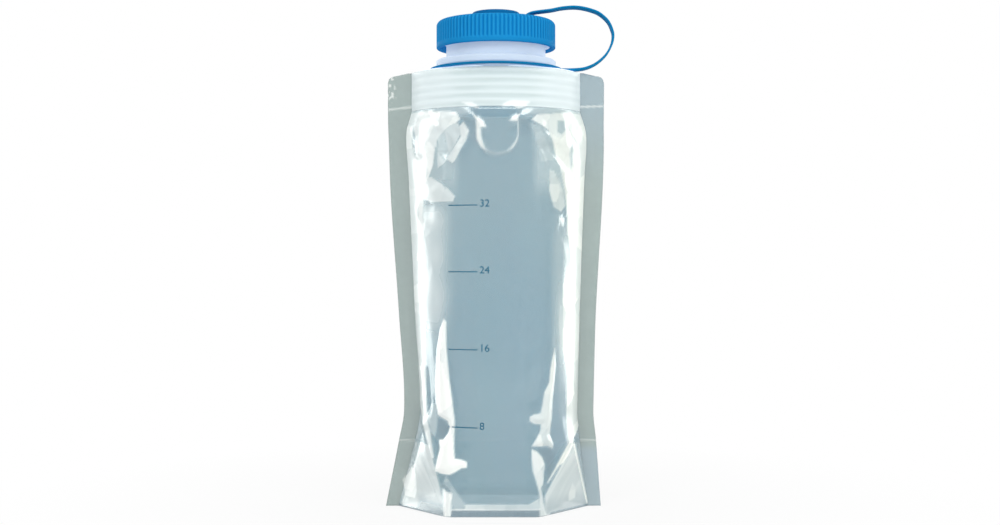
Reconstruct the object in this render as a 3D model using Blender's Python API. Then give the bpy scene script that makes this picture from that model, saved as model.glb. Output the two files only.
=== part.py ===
"""Collapsible water bottle: a clear stand-up film pouch with a screw cap and a cap tether.

The floor is z = 0, the neck stands on the Z axis, the printed front faces -Y, and the
tether loops out towards +X. Sizes are in metres.
"""

import math

import bmesh
import bpy
from mathutils import Matrix, Vector

MM = 0.001

# Clearances
GAP = 0.3 * MM
THREAD_GAP = 0.45 * MM
THREAD_CREST_GAP = 0.8 * MM
FOLD_GAP = 0.7 * MM
WELD_GAP = 0.6 * MM

# Film pouch
FILM = 0.5 * MM
POUCH_HEIGHT = 243.6 * MM
BASE_HALF_WIDTH = 60.5 * MM
BASE_HALF_DEPTH = 39 * MM
BASE_EDGE_HALF_WIDTH = 25 * MM
GUSSET_RISE = 37 * MM
GUSSET_HALF_WIDTH = 55.5 * MM
WAIST_HEIGHT = 54 * MM
WAIST_HALF_WIDTH = 53.3 * MM
WAIST_HALF_DEPTH = 40 * MM
MIDDLE_HEIGHT = 104 * MM
MIDDLE_HALF_WIDTH = 55.2 * MM
MIDDLE_HALF_DEPTH = 39.5 * MM
SHOULDER_DROP = 60.6 * MM
SHOULDER_HALF_WIDTH = 60 * MM
SHOULDER_HALF_DEPTH = 36.5 * MM
TOP_HALF_WIDTH = 61 * MM
TOP_CORNER_RADIUS = 4 * MM
TOP_CORNER_FALL = 1.8 * MM
TOP_FLAT = 1.5 * MM
CORNER_SEAM_WIDTH = 7.2 * MM
LOW_SEAM_WIDTH = 9 * MM
SHOULDER_SEAM_WIDTH = 10.6 * MM
SEAM_EDGE_DEPTH = 0.8 * MM
GUSSET_CREASE_OFFSET = 4 * MM
GUSSET_FLAT_HALF_WIDTH = 38 * MM
WELD_END = 0.965
PANEL_LIFT = 0.1 * MM

# Spout fitment
BOAT_HEIGHT = 21.6 * MM
BOAT_HALF_LENGTH = 46.6 * MM
BOAT_WALL = 1.6 * MM
BOAT_GROOVES = 5
BOAT_GROOVE_PITCH = 4.15 * MM
BOAT_FIRST_GROOVE = 1.6 * MM
BOAT_GROOVE_DEPTH = 0.8 * MM
DECK_RISE = 0.8 * MM
DECK_THICKNESS = 2 * MM
BOAT_LEDGE = 0.4 * MM
MOUTH_RADIUS = 26 * MM
NECK_WALL = 1.9 * MM
NECK_ABOVE_DECK = 25.8 * MM
GROOVE_STEP = 2.7 * MM
FLANGE_GRIP = 2.75 * MM
FLANGE_THICKNESS = 4.1 * MM
FLANGE_EDGE = 0.6 * MM
FLARE_HEIGHT = 1.7 * MM
FLARE_LEDGE = 0.8 * MM
LIP_EDGE = 0.5 * MM

# Screw thread, right-handed, on the neck and in the cap
THREAD_LEAD = 5.08 * MM
THREAD_TURNS = 1.4
THREAD_DEPTH = 2.3 * MM
THREAD_ROOT = 2.1 * MM
THREAD_CREST = 1.2 * MM
THREAD_BELOW_LIP = 11.6 * MM
NECK_THREAD_SUNK = 1 * MM
CAP_THREAD_SUNK = 0.6 * MM
CAP_THREAD_LATER = 0.6

# Screw cap
CAP_WALL = 1.9 * MM
CAP_HEIGHT = 15.5 * MM
CAP_PLATE = 2.1 * MM
CAP_SHOULDER = 3 * MM
CAP_RIBS = 90
CAP_RIB_DEPTH = 0.55 * MM
CAP_PLAIN_BAND = 2.8 * MM
PLUG_WALL = 1.1 * MM
PLUG_LENGTH = 3 * MM

# Swivel stud
STUD_HEAD_RADIUS = 13.5 * MM
STUD_HEAD_HEIGHT = 3.3 * MM
STUD_HEAD_ROUNDING = 1.4 * MM
STUD_STEM_RADIUS = 6.7 * MM
STUD_STEM_LENGTH = 5 * MM
STUD_BEAD = 0.6 * MM
SOCKET_WALL = 1.6 * MM

# Tether
TETHER_THICKNESS = 1.25 * MM
NECK_RING_WIDTH = 6.3 * MM
EYE_WIDTH = 5 * MM
STRAP_WIDTH = 9 * MM
STRAP_LOOP = 32.4 * MM
STRAP_CROWN = 2.85 * MM
TETHER_EDGE = 0.3 * MM

# Roundness, and how far a cutter reaches past the face that it opens
NECK_STEPS = 48
SMALL_STEPS = 32
BOAT_SIDE_STEPS = 18
THREAD_STEPS_A_TURN = 26
CUT_PAST = 5 * MM

# The share of a panel's width where the base edge ends and the corner folds back
FOLD_SHARE = BASE_EDGE_HALF_WIDTH / (BASE_HALF_WIDTH - CORNER_SEAM_WIDTH)

# Radii that follow from the sizes above
NECK_RADIUS = MOUTH_RADIUS + NECK_WALL
GROOVE_RADIUS = NECK_RADIUS + GROOVE_STEP
BOAT_HALF_DEPTH = GROOVE_RADIUS + BOAT_LEDGE
NECK_RING_INNER = GROOVE_RADIUS + GAP
NECK_RING_OUTER = NECK_RING_INNER + NECK_RING_WIDTH
FLANGE_RADIUS = NECK_RING_INNER + FLANGE_GRIP
CAP_INNER_RADIUS = NECK_RADIUS + THREAD_DEPTH + THREAD_CREST_GAP
CAP_RADIUS = CAP_INNER_RADIUS + CAP_WALL + CAP_RIB_DEPTH
EYE_INNER = STUD_STEM_RADIUS + GAP
EYE_OUTER = EYE_INNER + EYE_WIDTH
STRAP_REACH = CAP_RADIUS + STRAP_LOOP

# Heights that follow from the sizes above
BOAT_BOTTOM = POUCH_HEIGHT - BOAT_HEIGHT
DECK_TOP = POUCH_HEIGHT + DECK_RISE
RING_BOTTOM = DECK_TOP + GAP
FLANGE_BOTTOM = RING_BOTTOM + TETHER_THICKNESS + GAP
FLANGE_TOP = FLANGE_BOTTOM + FLANGE_THICKNESS
LIP_TOP = DECK_TOP + NECK_ABOVE_DECK
PLATE_BOTTOM = LIP_TOP + GAP
CAP_TOP = PLATE_BOTTOM + CAP_PLATE
CAP_BOTTOM = CAP_TOP - CAP_HEIGHT
EYE_BOTTOM = CAP_TOP + GAP
HEAD_BOTTOM = EYE_BOTTOM + TETHER_THICKNESS + GAP
HEAD_TOP = HEAD_BOTTOM + STUD_HEAD_HEIGHT
STEM_BOTTOM = HEAD_BOTTOM - STUD_STEM_LENGTH - TETHER_THICKNESS
SHOULDER_HEIGHT = POUCH_HEIGHT - SHOULDER_DROP
RING_MIDDLE = RING_BOTTOM + TETHER_THICKNESS / 2
EYE_MIDDLE = EYE_BOTTOM + TETHER_THICKNESS / 2


def clear_scene():
    for old in list(bpy.data.objects):
        bpy.data.objects.remove(old, do_unlink=True)


def make_material(name, color, roughness, alpha=1.0):
    material = bpy.data.materials.new(name)
    material.use_nodes = True
    shader = material.node_tree.nodes["Principled BSDF"]
    shader.inputs["Base Color"].default_value = (*color, 1.0)
    shader.inputs["Roughness"].default_value = roughness
    shader.inputs["Metallic"].default_value = 0.0
    shader.inputs["Alpha"].default_value = alpha
    return material


def make_joint_frame(name, place, parent=None):
    """An empty on a joint's axis, which carries the pieces of one moving body."""
    frame = bpy.data.objects.new(name, None)
    frame.empty_display_size = 10 * MM
    bpy.context.collection.objects.link(frame)
    frame["place"] = tuple(place)
    set_parent(frame, parent)
    return frame


def set_parent(child, parent):
    """Put an unturned child at its place, counted from its parent's."""
    place = Vector(child["place"])
    if parent is None:
        child.location = place
        return
    child.parent = parent
    child.location = place - Vector(parent["place"])


def make_object(name, bm, material=None, parent=None):
    """An object from a bmesh in world coordinates, with its origin at its parent's."""
    place = Vector(parent["place"]) if parent else Vector()
    bmesh.ops.recalc_face_normals(bm, faces=bm.faces)
    mesh = bpy.data.meshes.new(name)
    bm.to_mesh(mesh)
    bm.free()
    mesh.transform(Matrix.Translation(-place))
    mesh.shade_smooth()
    mesh.set_sharp_from_angle(angle=math.radians(35))
    if material:
        mesh.materials.append(material)
    made = bpy.data.objects.new(name, mesh)
    bpy.context.collection.objects.link(made)
    made["place"] = tuple(place)
    set_parent(made, parent)
    return made


def make_helper(name, bm, parent=None):
    """A shape that only joins or cuts another one."""
    helper = make_object(name, bm, parent=parent)
    helper.hide_render = True
    helper.display_type = "WIRE"
    return helper


def add_boolean(target, helper, operation):
    modifier = target.modifiers.new(helper.name, "BOOLEAN")
    modifier.operation = operation
    modifier.object = helper


def add_wall(target, thickness, offset):
    modifier = target.modifiers.new("wall", "SOLIDIFY")
    modifier.thickness = thickness
    modifier.offset = offset
    modifier.use_even_offset = True


def lathe(profile, steps):
    """A closed profile of (radius, height) points, turned about the Z axis."""
    bm = bmesh.new()
    points = [bm.verts.new((radius, 0, height)) for radius, height in profile]
    edges = [bm.edges.new(pair) for pair in zip(points, points[1:])]
    if profile[0][0] > 0:
        edges.append(bm.edges.new((points[-1], points[0])))
    bmesh.ops.spin(
        bm,
        geom=points + edges,
        cent=(0, 0, 0),
        axis=(0, 0, 1),
        angle=2 * math.pi,
        steps=steps,
        use_merge=True,
    )
    bmesh.ops.remove_doubles(bm, verts=bm.verts, dist=0.001 * MM)
    return bm


def loft(sections):
    """Closed loops of points, skinned one to the next and capped at both ends."""
    bm = bmesh.new()
    rings = [[bm.verts.new(point) for point in section] for section in sections]
    for lower, upper in zip(rings, rings[1:]):
        for i in range(len(lower)):
            j = (i + 1) % len(lower)
            bm.faces.new((lower[i], lower[j], upper[j], upper[i]))
    bm.faces.new(reversed(rings[0]))
    bm.faces.new(rings[-1])
    return bm


def sheet(rows):
    """An open sheet through rows of points."""
    bm = bmesh.new()
    grid = [[bm.verts.new(point) for point in row] for row in rows]
    for first, second in zip(grid, grid[1:]):
        for i in range(len(first) - 1):
            bm.faces.new((first[i], first[i + 1], second[i + 1], second[i]))
    return bm


def smooth_step(value):
    share = min(max(value, 0.0), 1.0)
    return share * share * (3 - 2 * share)


def curve_through(stations, where):
    """A smooth curve through (position, value) stations that rise in position."""
    where = min(max(where, stations[0][0]), stations[-1][0])
    last = len(stations) - 1
    i = max(k for k in range(last) if stations[k][0] <= where)

    def slope(k):
        before, after = stations[max(k - 1, 0)], stations[min(k + 1, last)]
        return (after[1] - before[1]) / (after[0] - before[0])

    (start, low), (end, high) = stations[i], stations[i + 1]
    span = end - start
    t = (where - start) / span
    return (
        (2 * t**3 - 3 * t**2 + 1) * low
        + (t**3 - 2 * t**2 + t) * span * slope(i)
        + (3 * t**2 - 2 * t**3) * high
        + (t**3 - t**2) * span * slope(i + 1)
    )


def lens_depth(across, half_length, half_depth):
    """Half the depth of a lens of two arcs, at a distance across from its middle."""
    radius = (half_length**2 + half_depth**2) / (2 * half_depth)
    return math.sqrt(max(radius**2 - across**2, 0)) - (radius - half_depth)


# Outline of the pouch


def outer_half_width(z):
    """From the axis to the outer edge of the side seam."""
    stations = (
        (0, BASE_HALF_WIDTH),
        (GUSSET_RISE, GUSSET_HALF_WIDTH),
        (WAIST_HEIGHT, WAIST_HALF_WIDTH),
        (MIDDLE_HEIGHT, MIDDLE_HALF_WIDTH),
        (SHOULDER_HEIGHT, SHOULDER_HALF_WIDTH),
        (POUCH_HEIGHT, TOP_HALF_WIDTH),
    )
    return curve_through(stations, z)


def inner_half_width(z):
    """From the axis to the inner edge of the side seam, where the panels start."""
    beside_boat = BOAT_HALF_LENGTH + GAP + FILM
    stations = (
        (0, BASE_HALF_WIDTH - CORNER_SEAM_WIDTH),
        (GUSSET_RISE, GUSSET_HALF_WIDTH - LOW_SEAM_WIDTH),
        (WAIST_HEIGHT, WAIST_HALF_WIDTH - LOW_SEAM_WIDTH),
        (MIDDLE_HEIGHT, MIDDLE_HALF_WIDTH - LOW_SEAM_WIDTH),
        (SHOULDER_HEIGHT, SHOULDER_HALF_WIDTH - SHOULDER_SEAM_WIDTH),
        (BOAT_BOTTOM, beside_boat),
        (POUCH_HEIGHT, beside_boat),
    )
    return curve_through(stations, z)


def middle_depth(z):
    """From the middle plane to the outside of a panel, at its centre line."""
    round_boat = BOAT_HALF_DEPTH + GAP + FILM
    stations = (
        (0, BASE_HALF_DEPTH),
        (WAIST_HEIGHT, WAIST_HALF_DEPTH),
        (MIDDLE_HEIGHT, MIDDLE_HALF_DEPTH),
        (SHOULDER_HEIGHT, SHOULDER_HALF_DEPTH),
        (BOAT_BOTTOM, round_boat),
        (POUCH_HEIGHT, round_boat),
    )
    return curve_through(stations, z)


def panel_point(side, share, z):
    """A point on the outside of a panel. side is -1 at the front, share runs -1 to 1."""
    half_width = inner_half_width(z)
    depth = middle_depth(z)
    lens = lens_depth(share * half_width, half_width, depth) / depth
    folded = min(1.0, (1 - abs(share)) / (1 - FOLD_SHARE))
    low = 1 - smooth_step(z / GUSSET_RISE)
    bulge = low * folded + (1 - low) * lens
    reach = SEAM_EDGE_DEPTH + (depth - SEAM_EDGE_DEPTH) * bulge
    return Vector((share * half_width, side * reach, z))


def panel_inside(side, share, z, depth):
    """The same point moved in by depth, square to the panel in plan."""
    step = 0.002
    ahead = panel_point(side, min(share + step, 1), z)
    behind = panel_point(side, max(share - step, -1), z)
    along = ahead - behind
    inward = Vector((-along.y, along.x, 0)).normalized()
    if inward.y * side > 0:
        inward = -inward
    return panel_point(side, share, z) + inward * depth


def stations_between(low, high, count):
    return [low + (high - low) * i / count for i in range(count + 1)]


# Pieces of film


def panel_shares():
    """Where the columns of a panel lie: a fold on each base corner, and close at the seams."""
    inner = stations_between(0, FOLD_SHARE, 3)
    outer = [
        FOLD_SHARE + (1 - FOLD_SHARE) * math.sin(turn)
        for turn in stations_between(0, math.pi / 2, 5)[1:]
    ]
    half = inner + outer
    return [-share for share in reversed(half[1:])] + half


def build_panel(name, side, material, parent):
    heights = (
        stations_between(PANEL_LIFT, GUSSET_RISE, 6)[:-1]
        + stations_between(GUSSET_RISE, SHOULDER_HEIGHT, 8)[:-1]
        + stations_between(SHOULDER_HEIGHT, BOAT_BOTTOM, 3)[:-1]
        + stations_between(BOAT_BOTTOM, POUCH_HEIGHT, 1)
    )
    rows = [[panel_point(side, share, z) for share in panel_shares()] for z in heights]
    panel = make_object(name, turned_out(sheet(rows), side), material, parent)
    add_wall(panel, FILM, -1)


def turned_out(bm, side):
    """Faces of an open wall turned to face away from the middle plane."""
    bmesh.ops.recalc_face_normals(bm, faces=bm.faces)
    bm.normal_update()
    if sum(face.normal.y * face.calc_area() for face in bm.faces) * side < 0:
        bmesh.ops.reverse_faces(bm, faces=bm.faces)
    return bm


def build_seam(name, side, material, parent):
    """A welded side margin: two layers of film, with a falling top edge and a round corner."""
    corner_start = POUCH_HEIGHT - TOP_CORNER_FALL - TOP_CORNER_RADIUS
    heights = stations_between(0, corner_start, 12)[:-1]
    turns = stations_between(0, math.pi / 2, 5)
    corner = [
        (
            corner_start + TOP_CORNER_RADIUS * math.sin(turn),
            TOP_CORNER_RADIUS * (1 - math.cos(turn)),
        )
        for turn in turns
    ]
    rows = []
    for z, cut in [(z, 0.0) for z in heights] + corner:
        inner = inner_half_width(z) + GAP
        outer = outer_half_width(z) - cut
        rows.append([(side * inner, 0, z), (side * outer, 0, z)])
    inner = inner_half_width(POUCH_HEIGHT) + GAP
    rows.append([(side * inner, 0, POUCH_HEIGHT), (side * (inner + TOP_FLAT), 0, POUCH_HEIGHT)])
    seam = make_object(name, sheet(rows), material, parent)
    add_wall(seam, 2 * FILM, 0)


def build_gusset(name, side, crease_gap, material, parent):
    """Half the bottom gusset: flat on the floor in the middle, rising to the side seams.

    Each column runs from the weld on a panel to the crease. The weld follows the base
    edge, then a straight line up the panel to the side seam. The crease lies just in
    front of the middle plane on the floor, and on it at the side seams.
    """
    half = [(share, 0.0) for share in stations_between(0, FOLD_SHARE, 3)]
    half += [
        (FOLD_SHARE + (WELD_END - FOLD_SHARE) * climb, climb)
        for climb in stations_between(0, WELD_END, 6)[1:]
    ]
    mirrored = [(-share, climb) for share, climb in reversed(half[1:])]
    columns = []
    for share, climb in mirrored + half:
        z = GUSSET_RISE * climb
        weld = panel_inside(side, share, z, FILM + WELD_GAP)
        if climb == 0:
            fold_x = GUSSET_FLAT_HALF_WIDTH * abs(share) / FOLD_SHARE
        else:
            fold_end = inner_half_width(z) * WELD_END
            fold_x = GUSSET_FLAT_HALF_WIDTH + (fold_end - GUSSET_FLAT_HALF_WIDTH) * climb
        crease = GUSSET_CREASE_OFFSET * (1 - climb / WELD_END) + crease_gap
        fold = Vector((math.copysign(fold_x, share), -crease, z))
        columns.append([weld.lerp(fold, step) for step in stations_between(0, 1, 4)])
    bm = sheet(columns)
    bmesh.ops.recalc_face_normals(bm, faces=bm.faces)
    bm.normal_update()
    if sum(face.normal.z for face in bm.faces) > 0:
        bmesh.ops.reverse_faces(bm, faces=bm.faces)
    gusset = make_object(name, bm, material, parent)
    add_wall(gusset, FILM, -1)


# Thread


def build_thread(name, root_radius, crest_radius, z_start, turn_start, parent):
    """One helical ridge with flat ends. The root reaches the wall that carries it."""
    steps = round(THREAD_TURNS * THREAD_STEPS_A_TURN)
    bm = bmesh.new()
    profile = (
        (root_radius, -THREAD_ROOT / 2),
        (crest_radius, -THREAD_CREST / 2),
        (crest_radius, THREAD_CREST / 2),
        (root_radius, THREAD_ROOT / 2),
    )
    corners = [bm.verts.new((radius, 0, z_start + rise)) for radius, rise in profile]
    face = bm.faces.new(corners)
    bmesh.ops.rotate(
        bm, verts=corners, cent=(0, 0, 0), matrix=Matrix.Rotation(turn_start, 3, "Z")
    )
    bmesh.ops.spin(
        bm,
        geom=[face] + list(face.edges) + corners,
        cent=(0, 0, 0),
        axis=(0, 0, 1),
        dvec=(0, 0, THREAD_LEAD * THREAD_TURNS / steps),
        angle=2 * math.pi * THREAD_TURNS,
        steps=steps,
    )
    return make_helper(name, bm, parent)


# Spout fitment


def boat_section(z, inset):
    """The boat-shaped outline at one height, drawn in by inset."""
    half_length = BOAT_HALF_LENGTH - inset * 1.5
    half_depth = BOAT_HALF_DEPTH - inset
    points = []
    for side in (-1, 1):
        for turn in stations_between(0, math.pi, BOAT_SIDE_STEPS)[:-1]:
            x = side * half_length * math.cos(turn)
            depth = lens_depth(x, half_length, half_depth)
            points.append((x, side * depth, z))
    return points


def build_fitment(material, parent):
    sections = [boat_section(BOAT_BOTTOM, 0)]
    for i in range(BOAT_GROOVES):
        z = BOAT_BOTTOM + BOAT_FIRST_GROOVE + i * BOAT_GROOVE_PITCH
        sections.append(boat_section(z, BOAT_GROOVE_DEPTH))
        sections.append(boat_section(z + BOAT_GROOVE_PITCH / 2, 0))
    sections.append(boat_section(DECK_TOP, BOAT_GROOVE_DEPTH))
    fitment = make_object("spout_fitment", loft(sections), material, parent)
    flare_reach = FLANGE_RADIUS - FLARE_LEDGE - NECK_RADIUS
    flare = [
        (
            NECK_RADIUS + flare_reach * (1 - math.sin(turn)),
            FLANGE_TOP + FLARE_HEIGHT * (1 - math.cos(turn)),
        )
        for turn in stations_between(0, math.pi / 2, 4)
    ]
    neck = (
        [
            (0, LIP_TOP),
            (NECK_RADIUS - LIP_EDGE, LIP_TOP),
            (NECK_RADIUS, LIP_TOP - LIP_EDGE),
        ]
        + flare[::-1]
        + [
            (FLANGE_RADIUS, FLANGE_TOP - FLANGE_EDGE),
            (FLANGE_RADIUS, FLANGE_BOTTOM),
            (GROOVE_RADIUS, FLANGE_BOTTOM),
            (GROOVE_RADIUS, DECK_TOP - DECK_THICKNESS / 2),
            (0, DECK_TOP - DECK_THICKNESS / 2),
        ]
    )
    add_boolean(fitment, make_helper("neck_stock", lathe(neck, NECK_STEPS), parent), "UNION")
    ridge = build_thread(
        "neck_thread",
        NECK_RADIUS - NECK_THREAD_SUNK,
        NECK_RADIUS + THREAD_DEPTH,
        LIP_TOP - THREAD_BELOW_LIP,
        0,
        parent,
    )
    add_boolean(fitment, ridge, "UNION")
    wall = BOAT_GROOVE_DEPTH + BOAT_WALL
    hollow = loft(
        [
            boat_section(BOAT_BOTTOM - CUT_PAST, wall),
            boat_section(DECK_TOP - DECK_THICKNESS, wall),
        ]
    )
    add_boolean(fitment, make_helper("boat_hollow", hollow, parent), "DIFFERENCE")
    bore = [
        (0, LIP_TOP + CUT_PAST),
        (MOUTH_RADIUS, LIP_TOP + CUT_PAST),
        (MOUTH_RADIUS, BOAT_BOTTOM),
        (0, BOAT_BOTTOM),
    ]
    add_boolean(fitment, make_helper("mouth_bore", lathe(bore, NECK_STEPS), parent), "DIFFERENCE")


# Cap and stud


def build_cap(material, parent):
    """A ribbed drum, hollowed from below, with a thread, a plug ring and a blind socket."""
    rib_low = CAP_BOTTOM + CAP_PLAIN_BAND
    rib_high = CAP_TOP - CAP_SHOULDER
    shoulder = [
        (
            CAP_RADIUS - CAP_SHOULDER * (1 - math.cos(turn)),
            rib_high + CAP_SHOULDER * math.sin(turn),
        )
        for turn in stations_between(0, math.pi / 2, 3)
    ]
    profile = (
        [(0, CAP_TOP)]
        + shoulder[::-1]
        + [(CAP_RADIUS, rib_low), (CAP_RADIUS, CAP_BOTTOM), (0, CAP_BOTTOM)]
    )
    drum = lathe(profile, 2 * CAP_RIBS)
    for vertex in drum.verts:
        radius = math.hypot(vertex.co.x, vertex.co.y)
        if radius < CAP_RADIUS - CAP_SHOULDER / 2 or vertex.co.z < rib_low - GAP:
            continue
        step = round(math.atan2(vertex.co.y, vertex.co.x) / math.pi * CAP_RIBS)
        if step % 2:
            share = 1 - CAP_RIB_DEPTH / radius
            vertex.co.x *= share
            vertex.co.y *= share
    cap = make_object("screw_cap", drum, material, parent)

    plug_outer = MOUTH_RADIUS - GAP
    plug_inner = plug_outer - PLUG_WALL
    plug_bottom = PLATE_BOTTOM - PLUG_LENGTH
    socket_radius = STUD_STEM_RADIUS + GAP
    socket_bottom = STEM_BOTTOM - GAP
    boss_radius = socket_radius + STUD_BEAD + SOCKET_WALL
    boss_bottom = socket_bottom - SOCKET_WALL
    below = CAP_BOTTOM - CUT_PAST
    hollow = [
        (0, boss_bottom),
        (boss_radius, boss_bottom),
        (boss_radius, PLATE_BOTTOM),
        (plug_inner, PLATE_BOTTOM),
        (plug_inner, plug_bottom),
        (plug_outer, plug_bottom),
        (plug_outer, PLATE_BOTTOM),
        (CAP_INNER_RADIUS, PLATE_BOTTOM),
        (CAP_INNER_RADIUS, below),
        (0, below),
    ]
    add_boolean(cap, make_helper("cap_hollow", lathe(hollow, NECK_STEPS), parent), "DIFFERENCE")
    bead_low = STEM_BOTTOM + STUD_BEAD
    socket = [
        (0, CAP_TOP + CUT_PAST),
        (socket_radius, CAP_TOP + CUT_PAST),
        (socket_radius, bead_low + 3 * STUD_BEAD),
        (socket_radius + STUD_BEAD, bead_low + 2 * STUD_BEAD),
        (socket_radius + STUD_BEAD, socket_bottom),
        (0, socket_bottom),
    ]
    add_boolean(cap, make_helper("stud_socket", lathe(socket, SMALL_STEPS), parent), "DIFFERENCE")
    ridge = build_thread(
        "cap_thread",
        CAP_INNER_RADIUS + CAP_THREAD_SUNK,
        NECK_RADIUS + THREAD_GAP,
        LIP_TOP - THREAD_BELOW_LIP + THREAD_LEAD * (CAP_THREAD_LATER - 0.5),
        2 * math.pi * CAP_THREAD_LATER,
        parent,
    )
    add_boolean(cap, ridge, "UNION")


def build_stud(material, parent):
    dome = [
        (
            STUD_HEAD_RADIUS - STUD_HEAD_ROUNDING * (1 - math.cos(turn)),
            HEAD_TOP - STUD_HEAD_ROUNDING * (1 - math.sin(turn)),
        )
        for turn in stations_between(0, math.pi / 2, 4)
    ]
    bead = STUD_STEM_RADIUS + STUD_BEAD
    profile = (
        [(0, HEAD_TOP)]
        + dome[::-1]
        + [
            (STUD_HEAD_RADIUS, HEAD_BOTTOM),
            (STUD_STEM_RADIUS, HEAD_BOTTOM),
            (STUD_STEM_RADIUS, STEM_BOTTOM + 2.5 * STUD_BEAD),
            (bead, STEM_BOTTOM + 1.5 * STUD_BEAD),
            (bead, STEM_BOTTOM + 0.5 * STUD_BEAD),
            (bead - 0.5 * STUD_BEAD, STEM_BOTTOM),
            (0, STEM_BOTTOM),
        ]
    )
    make_object("swivel_stud", lathe(profile, SMALL_STEPS), material, parent)


# Tether


def build_flat_ring(name, inner, outer, bottom, steps, material, parent):
    top = bottom + TETHER_THICKNESS
    profile = [
        (inner, top),
        (outer - TETHER_EDGE, top),
        (outer, top - TETHER_EDGE),
        (outer, bottom + TETHER_EDGE),
        (outer - TETHER_EDGE, bottom),
        (inner, bottom),
    ]
    make_object(name, lathe(profile, steps), material, parent)


def strap_route():
    """The middle line of the strap, from the eye out over the cap and back to the neck ring."""
    start = Vector((EYE_OUTER + GAP, EYE_MIDDLE))
    end = Vector((NECK_RING_OUTER + GAP, RING_MIDDLE))
    crown = HEAD_TOP + STRAP_CROWN
    return (
        start,
        Vector((STUD_HEAD_RADIUS + 0.8 * MM, EYE_MIDDLE + 0.1 * MM)),
        Vector((STUD_HEAD_RADIUS + 4.6 * MM, EYE_MIDDLE + 1.5 * MM)),
        Vector((STUD_HEAD_RADIUS + 9.4 * MM, EYE_MIDDLE + 3.6 * MM)),
        Vector((STRAP_REACH - 35.1 * MM, crown - 1.7 * MM)),
        Vector((STRAP_REACH - 29.5 * MM, crown - 0.6 * MM)),
        Vector((STRAP_REACH - 23.4 * MM, crown)),
        Vector((STRAP_REACH - 18.2 * MM, crown - 0.3 * MM)),
        Vector((STRAP_REACH - 12.6 * MM, crown - 1.6 * MM)),
        Vector((STRAP_REACH - 7.6 * MM, crown - 3.7 * MM)),
        Vector((STRAP_REACH - 2.8 * MM, crown - 8.1 * MM)),
        Vector((STRAP_REACH - 0.4 * MM, crown - 13.4 * MM)),
        Vector((STRAP_REACH, RING_MIDDLE + 18.2 * MM)),
        Vector((STRAP_REACH - 1.1 * MM, RING_MIDDLE + 13.7 * MM)),
        Vector((STRAP_REACH - 4.2 * MM, RING_MIDDLE + 8.3 * MM)),
        Vector((STRAP_REACH - 9.7 * MM, RING_MIDDLE + 3.5 * MM)),
        Vector((STRAP_REACH - 15.4 * MM, RING_MIDDLE + 1 * MM)),
        Vector((STRAP_REACH - 21 * MM, RING_MIDDLE + 0.2 * MM)),
        end,
    )


def smooth_route(points, parts):
    """Points along a smooth curve through the route's own points."""
    route = []
    for i in range(len(points) - 1):
        before = points[max(i - 1, 0)]
        here, there = points[i], points[i + 1]
        after = points[min(i + 2, len(points) - 1)]
        for k in range(parts):
            t = k / parts
            route.append(
                0.5
                * (
                    2 * here
                    + (there - before) * t
                    + (2 * before - 5 * here + 4 * there - after) * t**2
                    + (3 * here - before - 3 * there + after) * t**3
                )
            )
    route.append(points[-1])
    return route


def build_strap(material, parent):
    half = STRAP_WIDTH / 2
    rows = [
        [(point.x, -half, point.y), (point.x, half, point.y)]
        for point in smooth_route(strap_route(), 3)
    ]
    strap = make_object("tether_strap", sheet(rows), material, parent)
    add_wall(strap, TETHER_THICKNESS, 0)


def main():
    clear_scene()
    film = make_material("clear_film", (0.62, 0.72, 0.78), 0.12, alpha=0.35)
    weld = make_material("welded_film", (0.42, 0.50, 0.49), 0.25, alpha=0.6)
    milky = make_material("milky_neck", (0.66, 0.70, 0.85), 0.35)
    blue = make_material("blue_cap", (0.01, 0.20, 0.55), 0.35)
    blue_stud = make_material("blue_stud", (0.01, 0.12, 0.40), 0.35)
    blue_tether = make_material("blue_tether", (0.02, 0.20, 0.48), 0.4)

    bottle = make_joint_frame("bottle_origin", (0, 0, 0))
    front_hinge = make_joint_frame(
        "front_wall_hinge", (0, -BOAT_HALF_DEPTH, BOAT_BOTTOM), bottle
    )
    back_hinge = make_joint_frame(
        "back_wall_hinge", (0, BOAT_HALF_DEPTH, BOAT_BOTTOM), bottle
    )
    front_fold = make_joint_frame("front_base_hinge", (0, -BASE_HALF_DEPTH, 0), front_hinge)
    back_fold = make_joint_frame("back_base_hinge", (0, BASE_HALF_DEPTH, 0), back_hinge)
    neck_axis = make_joint_frame("tether_swivel_axis", (0, 0, RING_MIDDLE), bottle)
    eye_axis = make_joint_frame("eye_lift_axis", (0, 0, EYE_MIDDLE), neck_axis)
    lift_axis = make_joint_frame("cap_lift_axis", (0, 0, CAP_TOP), bottle)
    turn_axis = make_joint_frame("cap_turn_axis", (0, 0, CAP_BOTTOM), lift_axis)

    build_fitment(milky, bottle)
    build_seam("left_side_seam", -1, weld, bottle)
    build_seam("right_side_seam", 1, weld, bottle)
    build_panel("front_panel", -1, film, front_hinge)
    build_panel("back_panel", 1, film, back_hinge)
    build_gusset("gusset_front", -1, FOLD_GAP, film, front_fold)
    build_gusset("gusset_back", 1, 0, film, back_fold)
    build_stud(blue_stud, lift_axis)
    build_cap(blue, turn_axis)
    build_flat_ring(
        "tether_neck_ring",
        NECK_RING_INNER,
        NECK_RING_OUTER,
        RING_BOTTOM,
        NECK_STEPS,
        blue_tether,
        neck_axis,
    )
    build_strap(blue_tether, neck_axis)
    build_flat_ring(
        "tether_eye", EYE_INNER, EYE_OUTER, EYE_BOTTOM, SMALL_STEPS, blue_tether, eye_axis
    )


main()
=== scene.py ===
"""Looks of a collapsible water bottle: a clear stand-up film pouch with a milky screw neck,
a ribbed blue cap, a swivel stud and a blue tether.

The floor is z = 0, the neck stands on the Z axis and the printed front faces -Y.
Sizes are in metres.
"""

import math

import bmesh
import bpy
from mathutils import Matrix, Vector, noise


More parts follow.
